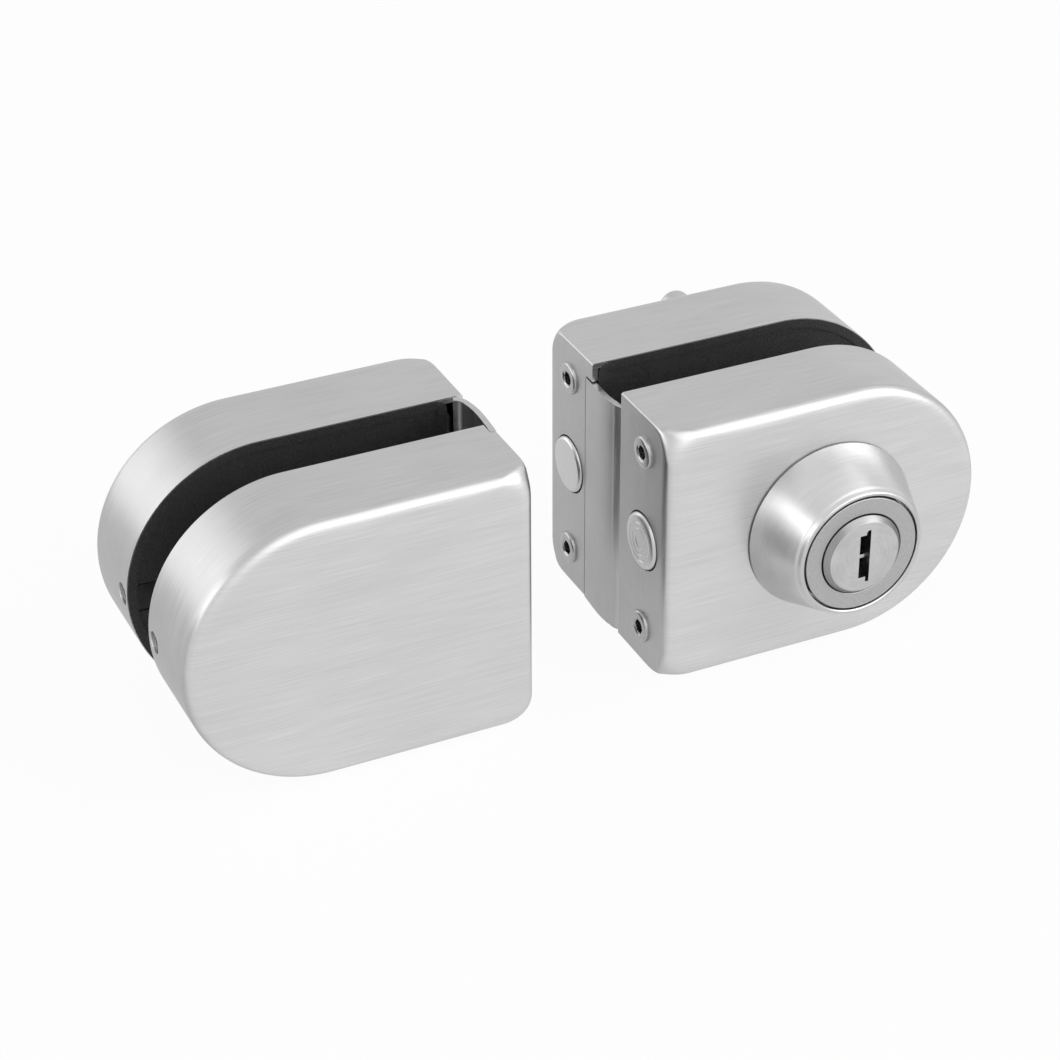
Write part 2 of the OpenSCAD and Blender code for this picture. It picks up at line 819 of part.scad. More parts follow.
// Collar turned as one cone with a rounded rim, hollow over the housing
module cylinder_collar() {
    base_r = collar_base_d / 2;
    rim_r = collar_rim_d / 2;
    rim_band = 1.4;
    bore_r = ring_d / 2 + 0.35;
    lip_r = housing_r + 0.25;
    round_r = (rim_r - bore_r) / 2;
    foot = shell_d + seat;
    under = ring_base - seat;
    color(steel) lock_half() front() translate([axis_u, 0, 0]) rotate_extrude() {
        difference() {
            polygon([
                [0, foot], [base_r, foot], [base_r, foot + 0.4], [rim_r, collar_top - rim_band],
                [rim_r, collar_top - round_r], [0, collar_top - round_r]
            ]);
            // hollow under the cone, open to the housing
            polygon([
                [0, foot - 1], [base_r - collar_t, foot - 1], [base_r - collar_t, foot + 0.4],
                [rim_r - collar_t, under - collar_t], [lip_r, under - collar_t],
                [lip_r, collar_top], [0, collar_top]
            ]);
            translate([0, under]) square([bore_r, collar_h]);
        }
        translate([bore_r + round_r, collar_top - round_r]) circle(r = round_r);
    }
}

module cylinder_housing() {
    color(nickel) lock_half() front() difference() {
        union() {
            translate([axis_u, 0, ring_base]) rotate_extrude() polygon([
                [0, 0], [ring_d / 2, 0], [ring_d / 2, ring_t - 0.4], [ring_d / 2 - 0.4, ring_t], [0, ring_t]
            ]);
            housing_hole(0, plate_d0, ring_base + eps);
        }
        // clip groove behind the cover
        translate([axis_u, 0, clip_d0 - seat]) difference() {
            cylinder(r = housing_r + 1, h = clip_t + 2 * seat);
            translate([0, 0, -1]) cylinder(r = clip_groove_r, h = clip_t + 3);
        }
        translate([axis_u, 0, 0]) cylinder(r = plug_body_r + plug_fit, h = plug_top);
        translate([axis_u, 0, plug_head_d0 - seat]) cylinder(r = plug_r + plug_fit, h = plug_head_t);
        // grooves that catch the wafers when the key is out
        translate([axis_u - wafer_w / 2 - relief, -plug_body_r - wafer_groove, wafer_d(wafer_n - 1) - wafer_t])
            cube([wafer_w + 2 * relief, 2 * (plug_body_r + wafer_groove), wafer_d(0) - wafer_d(wafer_n - 1) + 2 * wafer_t]);
    }
}

// Open spring clip in the housing's groove
module cylinder_clip() {
    mouth = clip_groove_r - 1.5;
    color(nickel) lock_half() front() translate([axis_u, 0, clip_d0]) difference() {
        cylinder(r = housing_r + 2.2, h = clip_t);
        translate([0, 0, -1]) cylinder(r = clip_groove_r + seat, h = clip_t + 2);
        translate([-mouth, -housing_r - 4, -1]) cube([2 * mouth, housing_r + 4, clip_t + 2]);
    }
}

// Depth of the middle of wafer i
function wafer_d(i) = ring_base - 1.4 - i * wafer_pitch;

// Height of wafer i's window: each is cut for its own step of the key
function wafer_step(i) = 0.5 * ((i * 7) % 3) - 0.5;

// Keyway: a slot with a narrow groove past each end
module keyway(d0, d1) {
    translate([axis_u, 0, d0]) linear_extrude(d1 - d0) {
        square([key_w, key_h], center = true);
        translate([key_w / 2 - key_groove_w, -key_h / 2 - key_groove_h])
            square([key_groove_w, key_h + 2 * key_groove_h]);
    }
}

// Plug with its keyway and a slot across it for each wafer
module cylinder_plug() {
    color(nickel) lock_half() front() difference() {
        translate([axis_u, 0, 0]) rotate_extrude() polygon([
            [0, crank_d1 + seat], [hub_r, crank_d1 + seat], [hub_r, plate_d0 + 0.6],
            [plug_body_r, plate_d0 + 0.6], [plug_body_r, plug_head_d0], [plug_r, plug_head_d0],
            [plug_r, plug_top - plug_chamfer], [plug_r - plug_chamfer, plug_top], [0, plug_top]
        ]);
        keyway(keyway_d0, plug_top + 1);
        for (i = [0 : wafer_n - 1]) translate([axis_u - wafer_w / 2 - seat, -plug_r, wafer_d(i) - wafer_t / 2 - seat])
            cube([wafer_w + 2 * seat, 2 * plug_r, wafer_t + 2 * seat]);
        translate([axis_u, 0, crank_d0]) crank_screw_form(thread_fit, crank_screw_l + 0.3);
    }
}

// Wafers, drawn level with the plug as they lie when the right key is in
module wafers() {
    color([0.80, 0.66, 0.36]) lock_half() front() for (i = [0 : wafer_n - 1])
        translate([axis_u, 0, wafer_d(i) - wafer_t / 2]) linear_extrude(wafer_t) difference() {
            intersection() {
                square([wafer_w, plug_body_d], center = true);
                circle(r = plug_body_r - relief);
            }
            translate([0, wafer_step(i)]) square([key_w + 0.6, key_h - 1.6], center = true);
        }
}

module plug_crank() {
    color(zinc) lock_half() front() crank();
}

module plug_crank_screw() {
    color(nickel) lock_half() front() crank_screw();
}

// Thumbturn

// Turned rose, its spigot set through the cover
module thumbturn_rose() {
    edge_r = 1.2;
    hole_r = spindle_d / 2 + 2 * relief;
    color(steel) lock_half() rear() translate([axis_u, 0, shell_d + seat]) rotate_extrude() {
        translate([hole_r, 0]) square([rose_d / 2 - hole_r, rose_h - edge_r]);
        translate([hole_r, 0]) square([rose_d / 2 - edge_r - hole_r, rose_h]);
        translate([rose_d / 2 - edge_r, rose_h - edge_r]) circle(r = edge_r);
        translate([hole_r, -sheet_t]) square([spigot_d / 2 - hole_r, sheet_t + eps]);
    }
}

// Half of the bar's section, its back edge rounded
module turn_section(edge_r) {
    square([turn_w / 2, turn_t - edge_r]);
    square([turn_w / 2 - edge_r, turn_t]);
    translate([turn_w / 2 - edge_r, turn_t - edge_r]) intersection() {
        circle(r = edge_r);
        square(edge_r);
    }
}

// Bar with round ends through a turned hub, bored for the spindle
module thumbturn_knob() {
    edge_r = 1.8;
    hub_chamfer = 0.8;
    side_l = turn_l - turn_w;
    color(steel) lock_half() rear() translate([axis_u, 0, 0]) difference() {
        union() {
            translate([0, side_l / 2, bar_d0]) rotate([90, 0, 0]) linear_extrude(side_l) {
                turn_section(edge_r);
                mirror([1, 0, 0]) turn_section(edge_r);
            }
            for (a = [0, 180]) rotate([0, 0, a]) translate([0, side_l / 2, bar_d0])
                rotate_extrude(angle = 180) turn_section(edge_r);
            rotate_extrude() polygon([
                [0, neck_d0], [neck_d / 2, neck_d0], [neck_d / 2, hub_top - hub_chamfer],
                [neck_d / 2 - hub_chamfer, hub_top], [0, hub_top]
            ]);
        }
        translate([0, 0, neck_d0 - 1]) cylinder(d = spindle_d + 2 * thread_fit, h = spindle_d1 + relief - neck_d0 + 1);
        translate([0, 0, set_screw_d]) rotate([90, 0, 0]) cylinder(d = plate_thread_d + 2 * thread_fit, h = neck_d);
    }
}

module thumbturn_set_screw() {
    color(nickel) lock_half() rear() translate([axis_u, relief - neck_d / 2 + 0.3, set_screw_d])
        rotate([-90, 0, 0]) grub_screw(plate_thread_d, (neck_d - spindle_d) / 2 - 0.6, small_socket_d);
}

module thumbturn_spindle() {
    color(nickel) lock_half() rear() difference() {
        translate([axis_u, 0, crank_d1 + seat]) cylinder(d = spindle_d, h = spindle_d1 - crank_d1 - seat);
        translate([axis_u, 0, clip_d0 - seat]) difference() {
            cylinder(r = spindle_d, h = clip_t + 2 * seat);
            translate([0, 0, -1]) cylinder(r = spindle_d / 2 - 0.6, h = clip_t + 3);
        }
        translate([axis_u, 0, crank_d0]) crank_screw_form(thread_fit, crank_screw_l + 0.3);
    }
}

// Open clip in the spindle's groove
module spindle_clip() {
    inner = spindle_d / 2 - 0.6 + seat;
    color(nickel) lock_half() rear() translate([axis_u, 0, clip_d0]) difference() {
        cylinder(r = spindle_d / 2 + 1.5, h = clip_t);
        translate([0, 0, -1]) cylinder(r = inner, h = clip_t + 2);
        translate([-inner * 0.7, -spindle_d, -1]) cube([inner * 1.4, spindle_d, clip_t + 2]);
    }
}

module spindle_crank() {
    color(zinc) lock_half() rear() crank();
}

module spindle_crank_screw() {
    color(nickel) lock_half() rear() crank_screw();
}

lock_front_cover();
lock_rear_cover();
lock_front_block();
lock_rear_block();
lock_front_pad();
lock_rear_pad();
lock_edge_strip();
lock_edge_screws();
lock_end_screws();
lock_clamp_screws();
cylinder_plate();
thumbturn_plate();
plate_screws();
cylinder_collar();
cylinder_housing();
cylinder_clip();
cylinder_plug();
wafers();
plug_crank();
plug_crank_screw();
front_bolt();
thumbturn_rose();
thumbturn_knob();
thumbturn_set_screw();
thumbturn_spindle();
spindle_clip();
spindle_crank();
spindle_crank_screw();
rear_bolt();
keeper_front_cover();
keeper_rear_cover();
keeper_front_block();
keeper_rear_block();
keeper_front_pad();
keeper_rear_pad();
keeper_edge_strip();
keeper_edge_screws();
keeper_end_screws();
keeper_clamp_screws();
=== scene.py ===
from math import cos, pi, radians, sin

import bmesh
import bpy
from mathutils import Matrix, Vector


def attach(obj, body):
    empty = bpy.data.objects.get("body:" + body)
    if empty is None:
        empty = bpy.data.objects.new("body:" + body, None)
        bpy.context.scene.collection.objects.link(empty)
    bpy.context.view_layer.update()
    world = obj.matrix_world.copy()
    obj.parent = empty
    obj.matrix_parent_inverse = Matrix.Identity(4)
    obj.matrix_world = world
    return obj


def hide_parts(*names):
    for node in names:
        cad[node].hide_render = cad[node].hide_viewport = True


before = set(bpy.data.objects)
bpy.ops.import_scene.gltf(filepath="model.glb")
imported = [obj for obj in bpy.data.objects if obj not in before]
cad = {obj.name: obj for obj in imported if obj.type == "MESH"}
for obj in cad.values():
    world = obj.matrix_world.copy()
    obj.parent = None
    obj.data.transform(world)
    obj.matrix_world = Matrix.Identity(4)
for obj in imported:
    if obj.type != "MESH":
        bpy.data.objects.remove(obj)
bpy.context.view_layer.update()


# Cast blocks and bearing plates.
# Zinc die castings that fill the covers and guide the bolts; two plates screwed over them carry the
# cylinder and the spindle. Only the blocks' rounded edge shows in the slot.

def linear(code):
    """Turns an sRGB hex colour into the linear numbers that a shader takes."""
    parts = [int(code[i:i + 2], 16) / 255 for i in (1, 3, 5)]
    return [p / 12.92 if p <= 0.04045 else ((p + 0.055) / 1.055) ** 2.4 for p in parts] + [1]


def add(tree, kind, inputs=None, **settings):
    """Adds a node with its settings; an input is a value, a socket, or a node that gives its output."""
    new = tree.nodes.new(kind)
    for name, value in settings.items():
        setattr(new, name, value)
    for name, value in (inputs or {}).items():
        if isinstance(value, bpy.types.Node):
            value = next(socket for socket in value.outputs if socket.enabled)
        if isinstance(value, bpy.types.NodeSocket):
            tree.links.new(value, new.inputs[name])
        else:
            new.inputs[name].default_value = value
    return new


def bare_material(name):
    """A material with no nodes but the place on the piece, on which its patterns are laid. The scale of a
    pattern is how many of its grains lie in a metre, so 3200 gives grains of 0.3 mm."""
    material = bpy.data.materials.new(name)
    material.use_nodes = True
    material.node_tree.nodes.clear()
    return material, material.node_tree, add(material.node_tree, "ShaderNodeTexCoord").outputs["Object"]


def die_cast_zinc():
    """Zinc alloy as it leaves the die, darkened by tumbling: dark grey with soft glints."""
    material, tree, place = bare_material("die_cast_zinc")
    skin = add(tree, "ShaderNodeTexNoise", {"Vector": place, "Scale": 900, "Detail": 4, "Roughness": 0.6})
    clouds = add(tree, "ShaderNodeTexNoise", {"Vector": place, "Scale": 120, "Detail": 2})
    metal = add(tree, "ShaderNodeBsdfPrincipled", {
        "Metallic": 1.0,
        "Base Color": add(tree, "ShaderNodeMix", {
            0: clouds, 6: linear("#4A4A4A"), 7: linear("#606060")}, data_type="RGBA"),
        "Roughness": add(tree, "ShaderNodeMapRange", {
            "Value": skin, "From Min": 0.25, "From Max": 0.75, "To Min": 0.38, "To Max": 0.56}),
        "Normal": add(tree, "ShaderNodeBump", {"Height": skin, "Distance": 0.00005, "Strength": 0.5})})
    add(tree, "ShaderNodeOutputMaterial", {"Surface": metal})
    return material


def finish_node(material, *names):
    """Gives CAD nodes that keep their shape their material."""
    for name in names:
        cad[name].data.materials.clear()
        cad[name].data.materials.append(material)


zinc = die_cast_zinc()
finish_node(zinc, "lock_front_block", "lock_rear_block", "keeper_front_block", "keeper_rear_block",
            "cylinder_plate", "thumbturn_plate")


# Pads.
# Black rubber, moulded in one piece, pressed between each block and the glass. Its thin flange covers the
# cut edge of the cover; round marks show where the clamping screws bear on it from behind.

MM = 0.001
meeting_edge = 13.7 * MM
half_length = 68.8 * MM
round_end = meeting_edge + half_length
height = 55 * MM
middle_z = height / 2
slot_face = 6.2 * MM

# points within a hair of each other are one, and edges within reach of an end belong to it
hair = 0.01 * MM
reach = 0.1 * MM

# two rounds that meet would swallow the flat between them, so they leave a sliver, which is then welded
sliver = 0.005 * MM
weld = 0.02 * MM


def lay_aside():
    """Leaves edit mode with nothing selected."""
    if bpy.context.object and bpy.context.object.mode == "EDIT":
        bpy.ops.object.mode_set(mode="OBJECT")
    bpy.ops.object.select_all(action="DESELECT")


def take_up(piece, name=None):
    """Makes the piece the one that is worked on, with its place in its mesh."""
    lay_aside()
    piece.select_set(True)
    bpy.context.view_layer.objects.active = piece
    bpy.ops.object.transform_apply(location=True, rotation=True, scale=True)
    if name:
        piece.name = name
        piece.data.name = name
    return piece


def edit(piece):
    """Opens the piece's mesh with all of it selected."""
    take_up(piece)
    bpy.ops.object.mode_set(mode="EDIT")
    bpy.ops.mesh.select_all(action="SELECT")
    return piece


def block(name, low, high):
    """A cuboid between two corners."""
    lay_aside()
    low, high = Vector(low), Vector(high)
    bpy.ops.mesh.primitive_cube_add(size=1, location=(low + high) / 2)
    bpy.context.object.scale = high - low
    return take_up(bpy.context.object, name)


def pick(piece, part, test):
    """Selects the verts, edges or faces that pass a test, and nothing else."""
    bpy.ops.mesh.select_mode(type={"verts": "VERT", "edges": "EDGE", "faces": "FACE"}[part])
    bpy.ops.mesh.select_all(action="DESELECT")
    mesh = bmesh.from_edit_mesh(piece.data)
    for item in getattr(mesh, part):
        if test(item):
            item.select_set(True)
    mesh.select_flush_mode()
    bmesh.update_edit_mesh(piece.data)


def middle(edge):
    """The middle of an edge."""
    return (edge.verts[0].co + edge.verts[1].co) / 2


def runs_along(edge, axis):
    """Whether an edge runs along an axis, which is 0, 1 or 2."""
    span = edge.verts[1].co - edge.verts[0].co
    return abs(span[axis]) > 0.999 * span.length


def modify(piece, kind, **settings):
    """Adds a modifier and applies it."""
    take_up(piece)
    modifier = piece.modifiers.new(kind.lower(), kind)
    for name, value in settings.items():
        setattr(modifier, name, value)
    bpy.ops.object.modifier_apply(modifier=modifier.name)


def cut(piece, *tools, way="DIFFERENCE"):
    """Cuts the tools out of the piece, or joins them to it, and throws them away."""
    for tool in tools:
        modify(piece, "BOOLEAN", object=tool, operation=way, solver="EXACT")
        bpy.data.objects.remove(tool)


def soften(piece, width, angle=40, segments=2):
    """Breaks the sharp edges with a small round."""
    modify(piece, "BEVEL", width=width, segments=segments, use_clamp_overlap=True,
           limit_method="ANGLE", angle_limit=radians(angle))


def copy_of(piece, name, across=""):
    """A copy with its own mesh, mirrored over the axes named, over z about the lock's mid-height."""
    take_up(piece)
    bpy.ops.object.duplicate()
    twin = take_up(bpy.context.object, name)
    if across:
        edit(twin)
        for axis in across:
            bpy.ops.transform.mirror(constraint_axis=[axis == each for each in "xyz"],
                                     center_override=(0, 0, middle_z))
        if len(across) % 2:
            bpy.ops.mesh.flip_normals()
        lay_aside()
    return twin


def finish(piece, material, body, slot_name, *nodes, angle=35):
    """Smooths the piece, gives it its material and its body, and lets it stand for its CAD nodes."""
    take_up(piece)
    bpy.ops.object.shade_smooth_by_angle(angle=radians(angle))
    modify(piece, "WEIGHTED_NORMAL", keep_sharp=True, weight=60)
    piece.data.materials.clear()
    piece.data.materials.append(material)
    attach(piece, body)
    if nodes:
        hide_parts(*nodes)


def clear_up(*pieces):
    """Throws away blanks that have been copied."""
    for piece in pieces:
        bpy.data.objects.remove(piece)


def d_solid(name, left, right, low, high, y_slot, y_far, corner):
    """A solid D between y_slot and y_far, left in edit mode: its right end is rounded over its whole height,
    its left corners a little."""
    piece = edit(block(name, (left, min(y_slot, y_far), low), (right, max(y_slot, y_far), high)))
    pick(piece, "edges", lambda e: runs_along(e, 1) and middle(e).x > right - reach)
    bpy.ops.mesh.bevel(offset=(high - low) / 2 - sliver, segments=40, affect="EDGES", clamp_overlap=False)
    pick(piece, "edges", lambda e: runs_along(e, 1) and middle(e).x < left + reach)
    bpy.ops.mesh.bevel(offset=corner, segments=12, affect="EDGES", clamp_overlap=False)
    bpy.ops.mesh.select_all(action="SELECT")
    bpy.ops.mesh.remove_doubles(threshold=weld)
    return piece


def drawn_line(name, points):
    """A line of edges, left in edit mode: one corner of a small plane, extruded from point to point."""
    lay_aside()
    side = 1 * MM
    bpy.ops.mesh.primitive_plane_add(size=side)
    piece = edit(take_up(bpy.context.object, name))
    pick(piece, "verts", lambda v: v.index > 0)
    bpy.ops.mesh.delete(type="VERT")
    bpy.ops.mesh.select_all(action="SELECT")
    points = [Vector(point) for point in points]
    bpy.ops.transform.translate(value=points[0] + Vector((side / 2, side / 2, 0)))
    for here, there in zip(points, points[1:]):
        bpy.ops.mesh.extrude_region_move(TRANSFORM_OT_translate={"value": there - here})
    return piece


def turned(name, outline, start, facing, steps=96):
    """Turns an outline round the line that leaves the start in the way faced. A point of the outline is its
    radius and its distance along that line, in millimetres. One that starts off the line is closed, so that
    it makes a ring."""
    piece = drawn_line(name, [(radius * MM, 0, distance * MM) for radius, distance in outline])
    if outline[0][0] > 0:
        last = len(outline) - 1
        pick(piece, "verts", lambda v: v.index in (0, last))
        bpy.ops.mesh.edge_face_add()
    bpy.ops.mesh.select_all(action="SELECT")
    bpy.ops.mesh.spin(steps=steps, angle=2 * pi, center=(0, 0, 0), axis=(0, 0, 1))
    bpy.ops.mesh.select_all(action="SELECT")
    bpy.ops.mesh.remove_doubles(threshold=hair / 10)
    bpy.ops.mesh.normals_make_consistent(inside=False)
    lay_aside()
    piece.rotation_euler = Vector(facing).to_track_quat("Z", "Y").to_euler()
    piece.location = start
    return take_up(piece, name)


def moulded_rubber():
    """EPDM rubber from a spark-eroded mould: black and matt, with a fine pebble and a faint grey bloom.
    The real pebble is about 0.1 mm; it is drawn at 0.3 mm so that it shows."""
    material, tree, place = bare_material("moulded_epdm_rubber")
    pebble = add(tree, "ShaderNodeTexNoise", {"Vector": place, "Scale": 3200, "Detail": 3, "Roughness": 0.6})
    bloom = add(tree, "ShaderNodeTexNoise", {"Vector": place, "Scale": 160, "Detail": 2})
    dull = add(tree, "ShaderNodeMix", {
        0: bloom, 6: linear("#1E1E1E"), 7: linear("#2F2F2F")}, data_type="RGBA")
    peaks = add(tree, "ShaderNodeMapRange", {"Value": pebble, "From Min": 0.45, "From Max": 0.75})
    skin = add(tree, "ShaderNodeBsdfPrincipled", {
        "Base Color": add(tree, "ShaderNodeMix", {
            0: peaks, 6: dull, 7: linear("#454545")}, data_type="RGBA"),
        "Roughness": 0.55,
        "Normal": add(tree, "ShaderNodeBump", {"Height": pebble, "Distance": 0.00015})})
    add(tree, "ShaderNodeOutputMaterial", {"Surface": skin})
    return material


rubber = moulded_rubber()
pad_y = -slot_face + 0.2 * MM
flange_in = 0.16 * MM
flange_back = -slot_face + 0.02 * MM
pad_right = round_end - flange_in
pad_corner = 2.3 * MM
body_in = 1.85 * MM
body_deep = 0.9 * MM
lip = 1.9 * MM
lip_height = 0.3 * MM
field_y = pad_y - lip_height

# the pad is thinner over the screw in the round end, on both its faces
thin_left = pad_right - 7.5 * MM
thin_half = 2.85 * MM
thin_back = -slot_face - 0.6 * MM
thin_field = field_y - 0.15 * MM

# a mark is a shallow round dent; each is given by its place from the meeting edge and from mid-height
dent = [(0, 0), (2.1, 0), (2.1, 0.5), (0, 0.5)]
dent_bottom = field_y - 0.1 * MM
mark_places = ((10.3, 22), (10.3, -22), (57.5, 0))


def moulded_pad(name, pad_left):
    """A pad of the lock's front: flange, body, low lip, the thin place and the round marks."""
    pad = d_solid(name, pad_left, pad_right, flange_in, height - flange_in, pad_y, flange_back, pad_corner)
    pick(pad, "faces", lambda f: f.normal.y < -0.9)
    bpy.ops.mesh.inset(thickness=body_in)
    bpy.ops.mesh.extrude_region_move(TRANSFORM_OT_translate={"value": (0, -body_deep, 0)})
    pick(pad, "faces", lambda f: f.normal.y > 0.9 and f.calc_center_median().y > pad_y - hair)
    bpy.ops.mesh.inset(thickness=lip)
    bpy.ops.mesh.extrude_region_move(TRANSFORM_OT_translate={"value": (0, -lip_height, 0)})
    lay_aside()
    low, high = middle_z - thin_half, middle_z + thin_half
    cut(pad, block("relief", (thin_left, -slot_face - 2 * MM, low), (pad_right - 1 * MM, thin_back, high)),
        block("shallow", (thin_left, thin_field, low), (pad_right - lip, 0, high)))
    soften(pad, 0.12 * MM)
    for along, up in mark_places:
        place = (meeting_edge + along * MM, dent_bottom, middle_z + up * MM)
        cut(pad, turned("mark", dent, place, (0, 1, 0), 48))
    return pad


# the long pad meets the flush side of the strip, the short one clears its curl
flush_side, curl_side = meeting_edge + 1.3 * MM, meeting_edge + 3.35 * MM
long_pad = moulded_pad("long_pad", flush_side)
short_pad = moulded_pad("short_pad", curl_side)
for half, way, across, blank in (("lock", "front", "", short_pad), ("lock", "rear", "y", long_pad),
                                 ("keeper", "front", "x", long_pad), ("keeper", "rear", "xy", short_pad)):
    finish(copy_of(blank, f"{way}_pad_of_{half}", across),
           rubber, "root", "pad_rubber", f"{half}_{way}_pad")
clear_up(long_pad, short_pad)


# Strips.
# A bent strip of the same stainless sheet closes the slot at each meeting edge. One long side is hooked
# into the block and lies flush, the other is curled back behind the cover; the keeper's is turned about.

def ground_stainless(name):
    """Stainless, ground with a 180 grit belt: grey metal whose shine is drawn out across the lines. The belt
    runs along the face and round the walls; the walls are given a darker tone, which is painted shade.
    The real lines are about 0.08 mm apart; they are drawn at 0.15 mm on the face, and at 0.35 mm on the
    walls, which are seen aslant, so that they show."""
    material, tree, place = bare_material(name)
    along_face = add(tree, "ShaderNodeTexNoise", {
        "Vector": add(tree, "ShaderNodeMapping", {"Vector": place, "Scale": (70, 70, 6500)}),
        "Scale": 1, "Detail": 3, "Roughness": 0.55})
    round_walls = add(tree, "ShaderNodeTexNoise", {
        "Vector": add(tree, "ShaderNodeMapping", {"Vector": place, "Scale": (90, 2900, 90)}),
        "Scale": 1, "Detail": 3, "Roughness": 0.55})
    patches = add(tree, "ShaderNodeTexNoise", {
        "Vector": add(tree, "ShaderNodeMapping", {"Vector": place, "Scale": (40, 120, 160)}), "Scale": 1})
    facing = add(tree, "ShaderNodeSeparateXYZ", {
        "Vector": add(tree, "ShaderNodeNewGeometry").outputs["Normal"]})
    on_face = add(tree, "ShaderNodeMapRange", {
        "Value": add(tree, "ShaderNodeMath", {0: facing.outputs["Y"]}, operation="ABSOLUTE"),
        "From Min": 0.4, "From Max": 0.9})
    lines = add(tree, "ShaderNodeMix", {0: on_face, 2: round_walls, 3: along_face})
    face_tone = add(tree, "ShaderNodeMix", {
        0: patches, 6: linear("#D2D2D2"), 7: linear("#DEDEDE")}, data_type="RGBA")
    # painted shade: the walls take a darker grey than the face
    painted_shade_wall_tone = add(tree, "ShaderNodeMix", {
        0: patches, 6: linear("#B3B3B3"), 7: linear("#BFBFBF")}, data_type="RGBA")
    tone = add(tree, "ShaderNodeMix", {0: on_face, 6: painted_shade_wall_tone, 7: face_tone}, data_type="RGBA")
    scratch = add(tree, "ShaderNodeMapRange", {
        "Value": lines, "From Min": 0.3, "From Max": 0.7, "To Min": 0.9, "To Max": 1.06})
    scratched = add(tree, "ShaderNodeCombineColor", {0: scratch, 1: scratch, 2: scratch})
    across_lines = add(tree, "ShaderNodeVectorTransform", {
        "Vector": add(tree, "ShaderNodeCombineXYZ", {
            "Y": add(tree, "ShaderNodeMath", {0: 1.0, 1: on_face}, operation="SUBTRACT"), "Z": on_face})},
        vector_type="VECTOR", convert_from="OBJECT", convert_to="WORLD")
    metal = add(tree, "ShaderNodeBsdfPrincipled", {
        "Metallic": 1.0,
        "Anisotropic": 0.5,
        "Tangent": across_lines,
        "Base Color": add(tree, "ShaderNodeMix", {
            0: 1.0, 6: tone, 7: scratched}, data_type="RGBA", blend_type="MULTIPLY"),
        "Roughness": add(tree, "ShaderNodeMapRange", {
            "Value": lines, "From Min": 0.3, "From Max": 0.7, "To Min": 0.28, "To Max": 0.42}),
        "Normal": add(tree, "ShaderNodeBump", {"Height": lines, "Distance": 0.00002, "Strength": 0.25})})
    add(tree, "ShaderNodeOutputMaterial", {"Surface": metal})
    return material


satin = ground_stainless("ground_stainless_304")
strip_thick = 1.2 * MM
strip_high = 50.8 * MM
strip_far_y = 9.1 * MM
hook_deep = 3.8 * MM
hook_foot = 1.35 * MM
curl_radius = 3.6 * MM
curl_y = -slot_face + curl_radius
curl_angle = 65

# the strip's path, from its hook over its bowed middle to its curl; the bow's points are in millimetres
path = [(meeting_edge + hook_deep, strip_far_y), (meeting_edge, strip_far_y)]
bow = [(0.10, 7.5), (0.28, 5), (0.40, 2.5), (0.40, 0.5), (0.22, -1.6)]
path += [(meeting_edge - out * MM, y * MM) for out, y in bow]
path += [(meeting_edge + curl_radius - curl_radius * cos(radians(a)), curl_y - curl_radius * sin(radians(a)))
         for a in range(0, curl_angle + 1, 5)]
strip = drawn_line("strip_blank", [(x, y, 0) for x, y in path])
bpy.ops.mesh.select_all(action="SELECT")
bpy.ops.mesh.extrude_region_move(TRANSFORM_OT_translate={"value": (0, 0, strip_high)})
lay_aside()
modify(strip, "SOLIDIFY", thickness=strip_thick, offset=-1, use_even_offset=True)

# the hook is cut short where the cover's wall runs under it
cut(strip, block("cover_wall", (meeting_edge + strip_thick, strip_far_y - 3 * MM, -1 * MM),
                 (meeting_edge + 9 * MM, strip_far_y + 1 * MM, hook_foot)))
soften(strip, 0.15 * MM, 50)
finish(copy_of(strip, "edge_strip_of_lock"), satin, "root", "satin_steel", "lock_edge_strip")
finish(copy_of(strip, "edge_strip_of_keeper", "xyz"), satin, "root", "satin_steel", "keeper_edge_strip")
clear_up(strip)


# Drawn covers.
# Each is one piece of stainless sheet, 1.2 mm thick, drawn into a D with a soft edge round its face, then
# ground by belt along the face and round the walls. Screws in its edge hold it to the block.

sheet = 1.2 * MM
cover_depth = 19.8 * MM
face_fillet = 3.3 * MM
face_corner = 8 * MM
least_corner = 0.25 * MM
face_y = -(slot_face + cover_depth)
past_slot = -slot_face + 1 * MM

# how deep from the slot an upright corner is measured, and its size there, in millimetres
corner_sizes = [(0, 0.5), (11, 0.8), (13.5, 1.6), (15, 3), (16.1, 4.9)]

axis_x = meeting_edge + 35.4 * MM
cylinder_hole = 11.2 * MM
spindle_hole = 5.2 * MM
bolt_y = -(slot_face + cover_depth / 2)
bolt_radius = 5.85 * MM
bolt_hole = bolt_radius + 0.25 * MM
edge_screw_z = 19.6 * MM
edge_screw_hole = 2.6 * MM
end_screw_y = -(slot_face + 2.9 * MM)
end_screw_hole = 2.2 * MM


def borders_end(edge, y_end):
    """Whether an edge borders the flat end of a piece at that y."""
    return abs(middle(edge).y - y_end) < hair and any(abs(face.normal.y) < 0.9 for face in edge.link_faces)


